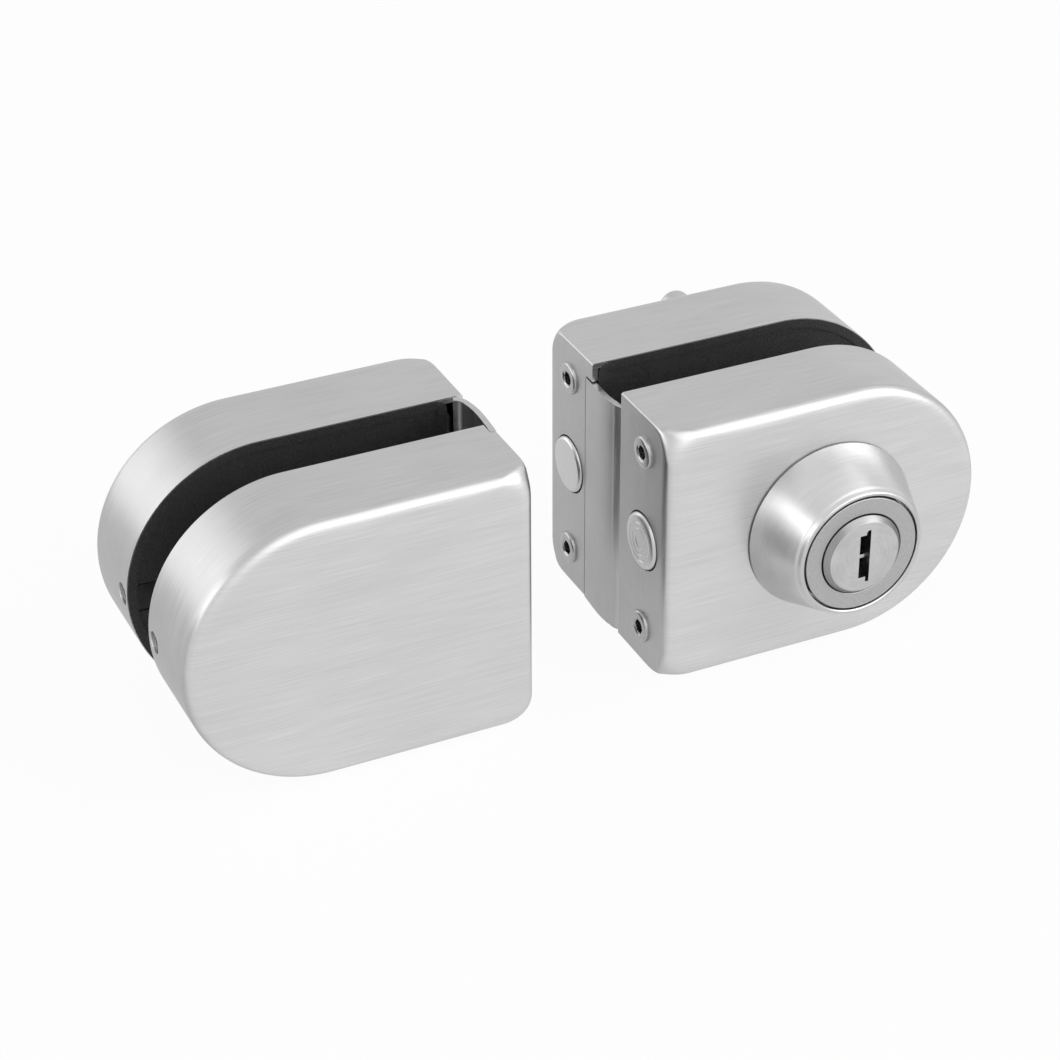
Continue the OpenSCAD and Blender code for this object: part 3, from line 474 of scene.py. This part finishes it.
def drawn_form(name, inset, y_slot, corner, small_corners):
    """The D with its face fillet. Its upright corners shrink towards the slot, as a drawn sheet closes up:
    small_corners gives their size on the ring of points at each y."""
    left, right = meeting_edge + inset, round_end - inset
    y_face = face_y + inset
    piece = d_solid(name, left, right, inset, height - inset, y_slot, y_face, corner)
    for y_ring, size in small_corners:
        if y_ring < y_slot:
            bpy.ops.mesh.select_all(action="SELECT")
            bpy.ops.mesh.bisect(plane_co=(0, y_ring, 0), plane_no=(0, 1, 0))
        for z in (inset, height - inset):
            pick(piece, "verts", lambda v: abs(v.co.y - y_ring) < hair
                 and v.co.x < left + corner + hair and abs(v.co.z - z) < corner + hair)
            bpy.ops.transform.resize(value=(size / corner, 1, size / corner),
                                     center_override=(left, y_ring, z))

    # the profile gathers the bend towards the middle of the fillet
    pick(piece, "edges", lambda e: borders_end(e, y_face))
    bpy.ops.mesh.bevel(offset=face_fillet - inset, segments=12, profile=0.62, affect="EDGES",
                       clamp_overlap=False)
    lay_aside()
    return piece


def rod(name, start, end, radius, sides=64):
    """A round bar between two points."""
    lay_aside()
    start, end = Vector(start), Vector(end)
    bpy.ops.mesh.primitive_cylinder_add(vertices=sides, radius=radius, depth=(end - start).length,
                                        location=(start + end) / 2,
                                        rotation=(end - start).to_track_quat("Z", "Y").to_euler())
    return take_up(bpy.context.object, name)


blank = drawn_form("cover_blank", 0, -slot_face, face_corner,
                   [(-slot_face - deep * MM, size * MM) for deep, size in corner_sizes])
hollow = drawn_form("hollow", sheet, past_slot, face_corner - sheet, [(past_slot, least_corner)] + [
    (-slot_face - deep * MM, max(size * MM - sheet, least_corner)) for deep, size in corner_sizes[1:]])
cut(blank, hollow)
outside, inside = meeting_edge - 2 * MM, meeting_edge + 3 * MM
for z in (middle_z - edge_screw_z, middle_z + edge_screw_z):
    cut(blank, rod("drill", (outside, bolt_y, z), (inside, bolt_y, z), edge_screw_hole))
cut(blank, rod("drill", (outside, bolt_y, middle_z), (inside, bolt_y, middle_z), bolt_hole, 96))
cut(blank, rod("drill", (round_end - 4 * MM, end_screw_y, middle_z),
               (round_end + 2 * MM, end_screw_y, middle_z), end_screw_hole))

# the cover that the strip laps is cut back over the strip's height, with a round inner corner
lapped = copy_of(blank, "lapped_blank")
notch_y = -(strip_far_y + 0.15 * MM)
notch_top = strip_high + 0.35 * MM
notch_right = meeting_edge + strip_thick + 0.1 * MM
notch = edit(block("notch", (outside, notch_y, -1 * MM), (notch_right, 0, notch_top)))
pick(notch, "edges", lambda e: runs_along(e, 0) and middle(e).y < notch_y + hair and middle(e).z > 0)
bpy.ops.mesh.bevel(offset=0.9 * MM, segments=6, affect="EDGES")
lay_aside()
cut(lapped, notch)

cylinder_cover = copy_of(blank, "front_cover_of_lock")
cut(cylinder_cover, rod("drill", (axis_x, face_y - 2 * MM, middle_z),
                        (axis_x, face_y + 3 * MM, middle_z), cylinder_hole, 96))
spindle_cover = copy_of(lapped, "rear_cover_of_lock", "y")
cut(spindle_cover, rod("drill", (axis_x, -face_y + 2 * MM, middle_z),
                       (axis_x, -face_y - 3 * MM, middle_z), spindle_hole))
covers = [(cylinder_cover, "lock_front_cover"), (spindle_cover, "lock_rear_cover"),
          (copy_of(lapped, "front_cover_of_keeper", "xz"), "keeper_front_cover"),
          (copy_of(blank, "rear_cover_of_keeper", "xy"), "keeper_rear_cover")]
for cover, node in covers:
    soften(cover, 0.14 * MM, 55)
    finish(cover, satin, "root", "satin_steel", node)
clear_up(blank, lapped)


# Screws.
# Two flat-headed socket screws pass through each cover's edge into the block, one grub screw in the round
# end locks the cover, and grub screws behind the pads clamp the glass. All are nickel-plated steel.

def bright_nickel():
    """Nickel plate over turned steel: close to a mirror, with faint turning marks."""
    material, tree, place = bare_material("bright_nickel_plate")
    marks = add(tree, "ShaderNodeTexNoise", {"Vector": place, "Scale": 1500, "Detail": 2})
    metal = add(tree, "ShaderNodeBsdfPrincipled", {
        "Metallic": 1.0,
        "Base Color": add(tree, "ShaderNodeMix", {
            0: marks, 6: linear("#A4A4A4"), 7: linear("#BCBCBC")}, data_type="RGBA"),
        "Roughness": add(tree, "ShaderNodeMapRange", {
            "Value": marks, "From Min": 0.25, "From Max": 0.75, "To Min": 0.2, "To Max": 0.3}),
        "Normal": add(tree, "ShaderNodeBump", {"Height": marks, "Distance": 0.00001, "Strength": 0.2})})
    add(tree, "ShaderNodeOutputMaterial", {"Surface": metal})
    return material


nickel = bright_nickel()
to_keeper = (-1, 0, 0)
screw_seat = (meeting_edge, bolt_y, middle_z + edge_screw_z)
screw_outline = [(0, -10.4), (1.55, -10.4), (1.95, -10), (1.95, -0.4), (3.3, -0.4), (3.3, 0.3), (3.22, 0.52),
                 (3.05, 0.68), (2.85, 0.75), (1.85, 0.75), (1.6, 0.56), (0, 0.56)]
screw = turned("screw_blank", screw_outline, screw_seat, to_keeper, 64)
cut(screw, turned("socket", [(0, 0.9), (1.55, 0.9), (1.55, -2.2), (0, -2.2)], screw_seat, to_keeper, 6))
soften(screw, 0.05 * MM, 50, 1)
for half, way, across in (("lock", "front", ""), ("lock", "rear", "y"),
                          ("keeper", "front", "x"), ("keeper", "rear", "xy")):
    for level, more in (("upper", ""), ("lower", "z")):
        finish(copy_of(screw, f"{level}_edge_screw_{way}_of_{half}", across + more),
               nickel, "root", "plated_steel", f"{half}_edge_screws")
clear_up(screw)
finish_node(nickel, "lock_end_screws", "lock_clamp_screws", "keeper_end_screws", "keeper_clamp_screws",
            "plate_screws")


# Bolts.
# Turned steel bars with a flat tail; the crank pin runs in the open slot of the tail. The front one's nose
# keeps the rings of its facing cut, the rear one's was faced smooth.

def faced_steel():
    """Free-cutting steel, faced in a lathe and nickel plated: rings round the bar's own line.
    The tool moved 0.1 mm a turn; the rings are drawn 0.35 mm apart so that they show."""
    material, tree, place = bare_material("faced_steel_nickel_plated")
    split = add(tree, "ShaderNodeSeparateXYZ", {"Vector": place})
    out_y = add(tree, "ShaderNodeMath", {0: split.outputs["Y"]}, operation="ABSOLUTE")
    off_y = add(tree, "ShaderNodeMath", {0: out_y, 1: bolt_y}, operation="ADD")
    off_z = add(tree, "ShaderNodeMath", {0: split.outputs["Z"], 1: middle_z}, operation="SUBTRACT")
    radius = add(tree, "ShaderNodeMath", {
        0: add(tree, "ShaderNodeMath", {0: off_y, 1: off_y}, operation="MULTIPLY"),
        1: add(tree, "ShaderNodeMath", {0: off_z, 1: off_z}, operation="MULTIPLY")}, operation="ADD")
    radius = add(tree, "ShaderNodeMath", {0: radius}, operation="SQRT")
    rings = add(tree, "ShaderNodeTexNoise", {"W": radius, "Scale": 2900, "Detail": 3}, noise_dimensions="1D")
    metal = add(tree, "ShaderNodeBsdfPrincipled", {
        "Metallic": 1.0,
        "Base Color": add(tree, "ShaderNodeMix", {
            0: rings, 6: linear("#C4C4C4"), 7: linear("#D4D4D4")}, data_type="RGBA"),
        "Roughness": add(tree, "ShaderNodeMapRange", {
            "Value": rings, "From Min": 0.3, "From Max": 0.7, "To Min": 0.26, "To Max": 0.34})})
    add(tree, "ShaderNodeOutputMaterial", {"Surface": metal})
    return material


faced = faced_steel()
bolt_out = 0.8
plain_nose = [(0, -22.7), (5.85, -22.7), (5.85, 0.1), (5.68, 0.42), (5.4, 0.68), (5.05, bolt_out)]
rings = [(4.2, bolt_out), (4.1, 0.7), (3.9, 0.7), (3.8, bolt_out), (2.9, bolt_out), (2.82, 0.73),
         (2.7, 0.73), (2.62, bolt_out), (1.5, bolt_out), (1.4, 0.74), (0, 0.74)]

tail_left, tail_right = meeting_edge + 21.7 * MM, meeting_edge + 44.4 * MM
tail_front, tail_back = bolt_y - 2 * MM, bolt_y + 2 * MM
tail_half = 4 * MM
ear_left = meeting_edge + 36.4 * MM
ear_foot, ear_top = middle_z - 3.9 * MM, middle_z + 8.27 * MM
pin_slot_left, pin_slot_right = meeting_edge + 38.6 * MM, meeting_edge + 42.2 * MM
pin_slot_foot = middle_z + 3.2 * MM

for way, outline, across in (("front", plain_nose + rings, ""),
                             ("rear", plain_nose + [(0, bolt_out)], "y")):
    bolt = turned("bolt_blank", outline, (meeting_edge, bolt_y, middle_z), to_keeper)
    tail = block("tail", (tail_left, tail_front, middle_z - tail_half),
                 (tail_right, tail_back, middle_z + tail_half))
    ear = block("ear", (ear_left, tail_front, ear_foot), (tail_right, tail_back, ear_top))
    cut(bolt, tail, ear, way="UNION")
    cut(bolt, block("pin_slot", (pin_slot_left, tail_front - 1 * MM, pin_slot_foot),
                    (pin_slot_right, tail_back + 1 * MM, ear_top + 4 * MM)))
    soften(bolt, 0.06 * MM, 50, 1)
    finish(copy_of(bolt, f"{way}_round_bolt", across), faced, f"{way}_bolt", "bolt_steel",
           f"{way}_bolt", angle=29)
    clear_up(bolt)


# Key cylinder.
# A housing with a flat front ring, turned from brass and plated matt; a spring clip holds it behind the
# cover. A bright plug turns in it, with two wards in its keyway and five stamped wafers across it.

def blasted_nickel():
    """Nickel plate over blasted brass: light grey and matt, with a fine sparkle.
    The real pits are about 0.05 mm; they are drawn at 0.25 mm so that they show."""
    material, tree, place = bare_material("matt_nickel_on_blasted_brass")
    pits = add(tree, "ShaderNodeTexNoise", {"Vector": place, "Scale": 4000, "Detail": 2, "Roughness": 0.6})
    metal = add(tree, "ShaderNodeBsdfPrincipled", {
        "Metallic": 1.0,
        "Base Color": add(tree, "ShaderNodeMix", {
            0: pits, 6: linear("#9A9A9A"), 7: linear("#CFCFCF")}, data_type="RGBA"),
        "Roughness": add(tree, "ShaderNodeMapRange", {
            "Value": pits, "From Min": 0.3, "From Max": 0.7, "To Min": 0.38, "To Max": 0.52}),
        "Normal": add(tree, "ShaderNodeBump", {"Height": pits, "Distance": 0.00006, "Strength": 0.8})})
    add(tree, "ShaderNodeOutputMaterial", {"Surface": metal})
    return material


def turned_metal(name, dark, light, smooth, rough, painted_shade_on_slopes="#FFFFFF"):
    """Metal turned, then polished with a cloth in the lathe: fine marks round the axis and a soft shine. The
    colour of the slopes is painted shade: it darkens what leans away from the end face.
    The real marks are finer than 0.1 mm; they are drawn at 0.3 mm so that they show."""
    material, tree, place = bare_material(name)
    centred = add(tree, "ShaderNodeSeparateXYZ", {
        "Vector": add(tree, "ShaderNodeMapping", {"Vector": place, "Location": (-axis_x, 0, -middle_z)})})
    across = add(tree, "ShaderNodeCombineXYZ", {"X": centred.outputs["X"], "Y": centred.outputs["Z"]})
    radius = add(tree, "ShaderNodeVectorMath", {0: across}, operation="LENGTH").outputs["Value"]
    turn = add(tree, "ShaderNodeMath", {
        0: centred.outputs["Z"], 1: centred.outputs["X"]}, operation="ARCTAN2")
    unrolled = add(tree, "ShaderNodeCombineXYZ", {"X": radius, "Y": centred.outputs["Y"], "Z": turn})
    marks = add(tree, "ShaderNodeTexNoise", {
        "Vector": add(tree, "ShaderNodeMapping", {"Vector": unrolled, "Scale": (3300, 3300, 2.5)}),
        "Scale": 1, "Detail": 4, "Roughness": 0.6})
    clouds = add(tree, "ShaderNodeTexNoise", {"Vector": place, "Scale": 150, "Detail": 2})
    tone = add(tree, "ShaderNodeMath", {
        0: add(tree, "ShaderNodeMapRange", {
            "Value": marks, "From Min": 0.3, "From Max": 0.7, "To Min": -0.2, "To Max": 0.2}),
        1: clouds}, operation="ADD")
    facing = add(tree, "ShaderNodeSeparateXYZ", {
        "Vector": add(tree, "ShaderNodeNewGeometry").outputs["Normal"]})
    flat = add(tree, "ShaderNodeMapRange", {
        "Value": add(tree, "ShaderNodeMath", {0: facing.outputs["Y"]}, operation="ABSOLUTE"),
        "From Min": 0.75, "From Max": 0.95})
    # painted shade: what leans away from the end face is multiplied by the slope colour
    painted_slope_shade = add(tree, "ShaderNodeMix", {
        0: flat, 6: linear(painted_shade_on_slopes), 7: linear("#FFFFFF")}, data_type="RGBA")
    colour = add(tree, "ShaderNodeMix", {0: tone, 6: linear(dark), 7: linear(light)}, data_type="RGBA")
    metal = add(tree, "ShaderNodeBsdfPrincipled", {
        "Metallic": 1.0,
        "Base Color": add(tree, "ShaderNodeMix", {
            0: 1.0, 6: colour, 7: painted_slope_shade}, data_type="RGBA", blend_type="MULTIPLY"),
        "Roughness": add(tree, "ShaderNodeMapRange", {
            "Value": marks, "From Min": 0.3, "From Max": 0.7, "To Min": smooth, "To Max": rough}),
        "Normal": add(tree, "ShaderNodeBump", {"Height": marks, "Distance": 0.00002, "Strength": 0.12})})
    add(tree, "ShaderNodeOutputMaterial", {"Surface": metal})
    return material


def arc(centre_r, centre_h, radius, first, last, count=6):
    """Points of a round in an outline, between two angles in degrees from the line of the radius."""
    turns = [radians(first + (last - first) / count * step) for step in range(count + 1)]
    return [(centre_r + radius * cos(turn), centre_h + radius * sin(turn)) for turn in turns]


def y_at(out):
    """The y of a place on the cylinder's axis, given in millimetres out from the slot."""
    return -slot_face - out * MM


def across_axis(name, half_wide, half_high, top, foot):
    """A cuboid centred on the cylinder's axis, between two places on it."""
    return block(name, (axis_x - half_wide, y_at(top), middle_z - half_high),
                 (axis_x + half_wide, y_at(foot), middle_z + half_high))


slot_side = (axis_x, -slot_face, middle_z)
to_front = (0, -1, 0)

# radii of housing and plug, and places on their axis, in millimetres as in every outline
ring, body = 12, 11
head, head_bore = 8.4, 8.5
shank, shank_bore = 7.5, 7.55
ring_top = 32.1
ring_base = ring_top - 2.6
body_foot = 14.3
plug_top = ring_top + 1.2
head_low = plug_top - 3
head_seat = head_low - 0.05
clip_top, clip_foot, clip_seat = 18.5, 17.4, 9.8

# the wafers lie one behind the other from just under the ring
wafer_count, wafer_pitch = 5, 2
first_wafer = ring_base - 1.4
last_wafer = first_wafer - wafer_pitch * (wafer_count - 1)
wafer_half = 3.25 * MM
wafer_slot_half = 0.55

# under its ring the housing is round, with a flat above and below, a groove for the clip and another
# right across its bore, whose two ends take the wafers
flat_half = 10 * MM
housing_outline = [(shank_bore, body_foot), (body, body_foot), (body, ring_base), (ring, ring_base)]
housing_outline += arc(ring - 0.2, ring_top - 0.2, 0.2, 0, 90, 4)
housing_outline += arc(head_bore + 0.35, ring_top - 0.25, 0.25, 90, 180, 3)
housing_outline += [(head_bore, ring_top - 0.6), (head_bore, head_seat), (shank_bore, head_seat)]
housing = turned("key_cylinder_housing", housing_outline, slot_side, to_front, 128)
for low, high in ((middle_z - flat_half - 3 * MM, middle_z - flat_half),
                  (middle_z + flat_half, middle_z + flat_half + 3 * MM)):
    cut(housing, block("flat", (axis_x - ring * MM, y_at(ring_base - 0.1), low),
                       (axis_x + ring * MM, y_at(body_foot - 0.3), high)))
clip_outline = [(clip_seat, clip_foot), (body + 3, clip_foot), (body + 3, clip_top), (clip_seat, clip_top)]
cut(housing, turned("clip_groove", clip_outline, slot_side, to_front),
    across_axis("wafer_groove", wafer_half + 0.1 * MM, 8.3 * MM, first_wafer + 1, last_wafer - 1))
finish(housing, blasted_nickel(), "root", "cylinder_nickel", "cylinder_housing")

# the plug's slope colour is painted shade that darkens its bevel
plug_metal = turned_metal("bright_nickel_on_turned_brass", "#B6B6B6", "#D8D8D8", 0.28, 0.36, "#C0C0C0")
plug_outline = [(0, 14.05), (5, 14.05), (5, 14.9), (shank, 14.9), (shank, head_low), (head, head_low),
                (head, plug_top - 1.15), (head - 0.04, plug_top - 1.06), (head - 0.9, plug_top - 0.08),
                (head - 1.04, plug_top), (0, plug_top)]
plug = turned("key_cylinder_plug", plug_outline, slot_side, to_front, 128)

# the keyway: a slot with a narrower one through it that reaches further, and a shallow lead-in on top
key_half_wide, key_half_high, narrow_half_high = 1.15 * MM, 4.55 * MM, 5.7 * MM
key_left, key_right = axis_x - key_half_wide, axis_x + key_half_wide
key_mouth, key_bottom = plug_top + 1, 17.9
cut(plug, across_axis("keyway", key_half_wide, key_half_high, key_mouth, key_bottom),
    block("narrow", (key_right - 0.75 * MM, y_at(key_mouth), middle_z - narrow_half_high),
          (key_right - hair, y_at(key_bottom), middle_z + narrow_half_high)),
    block("lead_in", (key_left + hair, y_at(key_mouth), middle_z + 4.5 * MM),
          (key_right - 0.7 * MM, y_at(plug_top - 0.3), middle_z + 5.35 * MM)))

# the wards stand into the keyway from its two walls, 2 mm behind the face
ward_mouth = plug_top - 2
ward_root = 0.2 * MM
cut(plug, block("right_ward", (key_right - 1.05 * MM, y_at(ward_mouth), middle_z - 1.5 * MM),
                (key_right + ward_root, y_at(key_bottom), middle_z - 0.75 * MM)),
    block("left_ward", (key_left - ward_root, y_at(ward_mouth), middle_z - 3 * MM),
          (key_left + 1.3 * MM, y_at(key_bottom), middle_z - 2.3 * MM)), way="UNION")

for wafer in range(wafer_count):
    out = first_wafer - wafer_pitch * wafer
    cut(plug, across_axis("wafer_slot", wafer_half, 9 * MM, out + wafer_slot_half, out - wafer_slot_half))
cut(plug, turned("screw_hole", [(0, 11), (1.5, 11), (1.5, 17), (0, 17)], slot_side, to_front, 48))
soften(plug, 0.06 * MM, 50)
finish(plug, plug_metal, "plug", "cylinder_nickel", "cylinder_plug")


def stamped_brass():
    """Brass strip, stamped and thinly nickel plated: grey with a little yellow, and streaked."""
    material, tree, place = bare_material("nickel_on_stamped_brass")
    marks = add(tree, "ShaderNodeTexNoise", {
        "Vector": add(tree, "ShaderNodeMapping", {"Vector": place, "Scale": (1500, 1500, 4000)}),
        "Scale": 1})
    metal = add(tree, "ShaderNodeBsdfPrincipled", {
        "Metallic": 1.0,
        "Base Color": add(tree, "ShaderNodeMix", {
            0: marks, 6: linear("#AFACA4"), 7: linear("#CBC8C0")}, data_type="RGBA"),
        "Roughness": add(tree, "ShaderNodeMapRange", {
            "Value": marks, "From Min": 0.3, "From Max": 0.7, "To Min": 0.2, "To Max": 0.35})})
    add(tree, "ShaderNodeOutputMaterial", {"Surface": metal})
    return material


finish_node(stamped_brass(), "wafers")
finish_node(nickel, "cylinder_clip", "plug_crank", "plug_crank_screw")


# Collar.
# A cone turned from a stainless bar and polished, with a rounded rim. It is slipped over the housing, and
# the housing's ring holds it against the cover.

collar_metal = turned_metal("turned_stainless_303", "#BFBFBF", "#D4D4D4", 0.27, 0.35)
base, rim, bore = 17.7, 13.3, 12.35
foot, top, under = 19.85, ring_top + 0.15, ring_base - 0.05
body_bore, wall = 11.25, 1.6
bead = (rim - bore) / 2
collar_outline = [(base - wall, foot), (base - 0.4, foot), (base - 0.4, foot + 0.25),
                  (base - 0.06, foot + 0.28), (base, foot + 0.36), (base - 0.04, foot + 0.5)]
collar_outline += [(rim + 0.6, top - 1.75), (rim + 0.3, top - 1.25), (rim + 0.1, top - 0.95)]
collar_outline += arc(bore + bead, top - bead, bead, 20, 180, 10)
collar_outline += [(bore, under), (body_bore, under), (body_bore, under - wall), (rim - wall, under - wall),
                   (base - wall, foot + 0.4)]
collar = turned("collar_of_cylinder", collar_outline, slot_side, to_front, 160)
finish(collar, collar_metal, "root", "turned_steel", "cylinder_collar", angle=28)


# Thumbturn.
# Behind the door a bar with round ends stands on a neck in a turned rose, and a set screw pins it to the
# spindle. All stainless, polished round the axis on the rose and ground by belt on the bar.

to_rear = (0, 1, 0)
rear_side = (axis_x, slot_face, middle_z)
rose_outline = [(3.3, 18.65), (5, 18.65), (5, 19.85), (15, 19.85)]
rose_outline += arc(13.8, 21.85, 1.2, 0, 90, 8) + [(3.3, 23.05)]
rose = turned("rose_of_thumbturn", rose_outline, rear_side, to_rear, 128)
finish(rose, collar_metal, "root", "turned_steel", "thumbturn_rose")

bar_front, bar_back = slot_face + 27.8 * MM, slot_face + 34.8 * MM
bar_half, bar_wide = 20.2 * MM, 3.4 * MM
bar = edit(block("thumbturn_bar", (axis_x - bar_wide, bar_front, middle_z - bar_half),
                 (axis_x + bar_wide, bar_back, middle_z + bar_half)))
pick(bar, "edges", lambda e: runs_along(e, 1))
bpy.ops.mesh.bevel(offset=bar_wide - sliver, segments=24, affect="EDGES", clamp_overlap=False)
bpy.ops.mesh.select_all(action="SELECT")
bpy.ops.mesh.remove_doubles(threshold=weld)
for y_rim, rounding, segments in ((bar_back, 1.8 * MM, 8), (bar_front, 0.4 * MM, 4)):
    pick(bar, "edges", lambda e: borders_end(e, y_rim))
    bpy.ops.mesh.bevel(offset=rounding, segments=segments, affect="EDGES", clamp_overlap=False)
lay_aside()
neck, neck_foot, neck_top, neck_round = 7, 23.3, 32.8, 0.8
neck_outline = [(0, neck_foot), (neck - 0.3, neck_foot), (neck, neck_foot + 0.3)]
neck_outline += arc(neck - neck_round, neck_top - neck_round, neck_round, 0, 90) + [(0, neck_top)]
cut(bar, turned("neck", neck_outline, rear_side, to_rear), way="UNION")
cut(bar, turned("spindle_hole", [(0, 20), (3.05, 20), (3.05, 32.25), (0, 32.25)], rear_side, to_rear, 64))
set_screw_y = slot_face + 25.55 * MM
cut(bar, rod("drill", (axis_x, set_screw_y, middle_z - 9 * MM),
             (axis_x, set_screw_y, middle_z - 1 * MM), 1.5 * MM, 48))
soften(bar, 0.08 * MM, 50)
finish(bar, ground_stainless("ground_stainless_303"), "thumbturn", "turned_steel", "thumbturn_knob")
finish_node(nickel, "thumbturn_set_screw", "thumbturn_spindle", "spindle_clip", "spindle_crank",
            "spindle_crank_screw")


# Camera, light and floor.
# The camera stands where the photograph's stood, worked out from the outlines of both halves. Large soft
# lamps stand in front, at the left, at the right and behind, over a plain white floor.

lay_aside()
camera = bpy.data.objects.new("camera", bpy.data.cameras.new("camera"))
bpy.context.scene.collection.objects.link(camera)
camera.data.lens = 99.4
camera.data.sensor_width = 36
camera.data.clip_end = 50
camera_place = (-0.20723, -0.4391, 0.32468)
turned_right, looks_down, leans = 24.98, 31.72, 0.3  # degrees
camera.matrix_world = (Matrix.Translation(camera_place)
                       @ Matrix.Rotation(radians(-turned_right), 4, "Z")
                       @ Matrix.Rotation(radians(90 - looks_down), 4, "X")
                       @ Matrix.Rotation(radians(-leans), 4, "Z"))
bpy.context.scene.camera = camera


lit_point = Vector((0.02, 0, 0.03))


def softbox(name, place, size, power):
    """A rectangular soft lamp that faces the lock; its place and size are in metres, its power in watts."""
    lamp = bpy.data.objects.new(name, bpy.data.lights.new(name, "AREA"))
    lamp.data.shape = "RECTANGLE"
    lamp.data.size, lamp.data.size_y = size
    lamp.data.energy = power
    lamp.location = place
    lamp.rotation_euler = (lit_point - Vector(place)).to_track_quat("-Z", "Y").to_euler()
    bpy.context.scene.collection.objects.link(lamp)


softbox("front_lamp", (0.55, -0.85, 1.2), (2.6, 2.0), 13.8)
softbox("left_lamp", (-1.1, 0.1, 0.5), (0.8, 0.6), 2.4)
softbox("rear_lamp", (-0.83, 1.0, 0.35), (1.2, 0.9), 2.8)
softbox("right_lamp", (0.55, -0.4, 0.4), (0.5, 0.4), 1.0)

# the room is white to the eye, in metal and through anything clear, and dim where it lights the lock
room_light = 0.35
world = bpy.data.worlds.new("studio")
bpy.context.scene.world = world
world.use_nodes = True
sky = world.node_tree
sky.nodes.clear()
seen = add(sky, "ShaderNodeLightPath")
to_eye_or_metal = add(sky, "ShaderNodeMath", {
    0: seen.outputs["Is Camera Ray"], 1: seen.outputs["Is Glossy Ray"]}, operation="MAXIMUM")
shows_white = add(sky, "ShaderNodeMath", {
    0: to_eye_or_metal, 1: seen.outputs["Is Transmission Ray"]}, operation="MAXIMUM")
white = add(sky, "ShaderNodeBackground", {"Color": (1, 1, 1, 1), "Strength": 1.0})
dim = add(sky, "ShaderNodeBackground", {"Color": (1, 1, 1, 1), "Strength": room_light})
add(sky, "ShaderNodeOutputWorld", {
    "Surface": add(sky, "ShaderNodeMixShader", {0: shows_white, 1: dim, 2: white})})

# the floor is white paper; to the eye it mostly glows, so that it is white and keeps a faint shadow, and in
# metal it glows less
glow_to_eye, glow_in_metal = 0.95, 0.65
bpy.ops.mesh.primitive_plane_add(size=6, location=(0, 0, -0.2 * MM))
floor = take_up(bpy.context.object, "floor")
white_paper, tree = bare_material("white_paper")[:2]
seen = add(tree, "ShaderNodeLightPath")
seen_straight = add(tree, "ShaderNodeMath", {
    0: seen.outputs["Is Camera Ray"], 1: seen.outputs["Is Transmission Ray"]}, operation="MAXIMUM")
to_eye = add(tree, "ShaderNodeMath", {0: seen_straight, 1: glow_to_eye}, operation="MULTIPLY")
in_metal = add(tree, "ShaderNodeMath", {
    0: seen.outputs["Is Glossy Ray"], 1: glow_in_metal}, operation="MULTIPLY")
glows = add(tree, "ShaderNodeMath", {0: to_eye, 1: in_metal}, operation="MAXIMUM")
paper = add(tree, "ShaderNodeBsdfPrincipled", {"Base Color": linear("#F0F0F0"), "Roughness": 0.9})
glow = add(tree, "ShaderNodeEmission", {"Color": (1, 1, 1, 1), "Strength": 1.0})
add(tree, "ShaderNodeOutputMaterial", {
    "Surface": add(tree, "ShaderNodeMixShader", {0: glows, 1: paper, 2: glow})})
floor.data.materials.append(white_paper)

bpy.context.scene.view_settings.view_transform = "Standard"
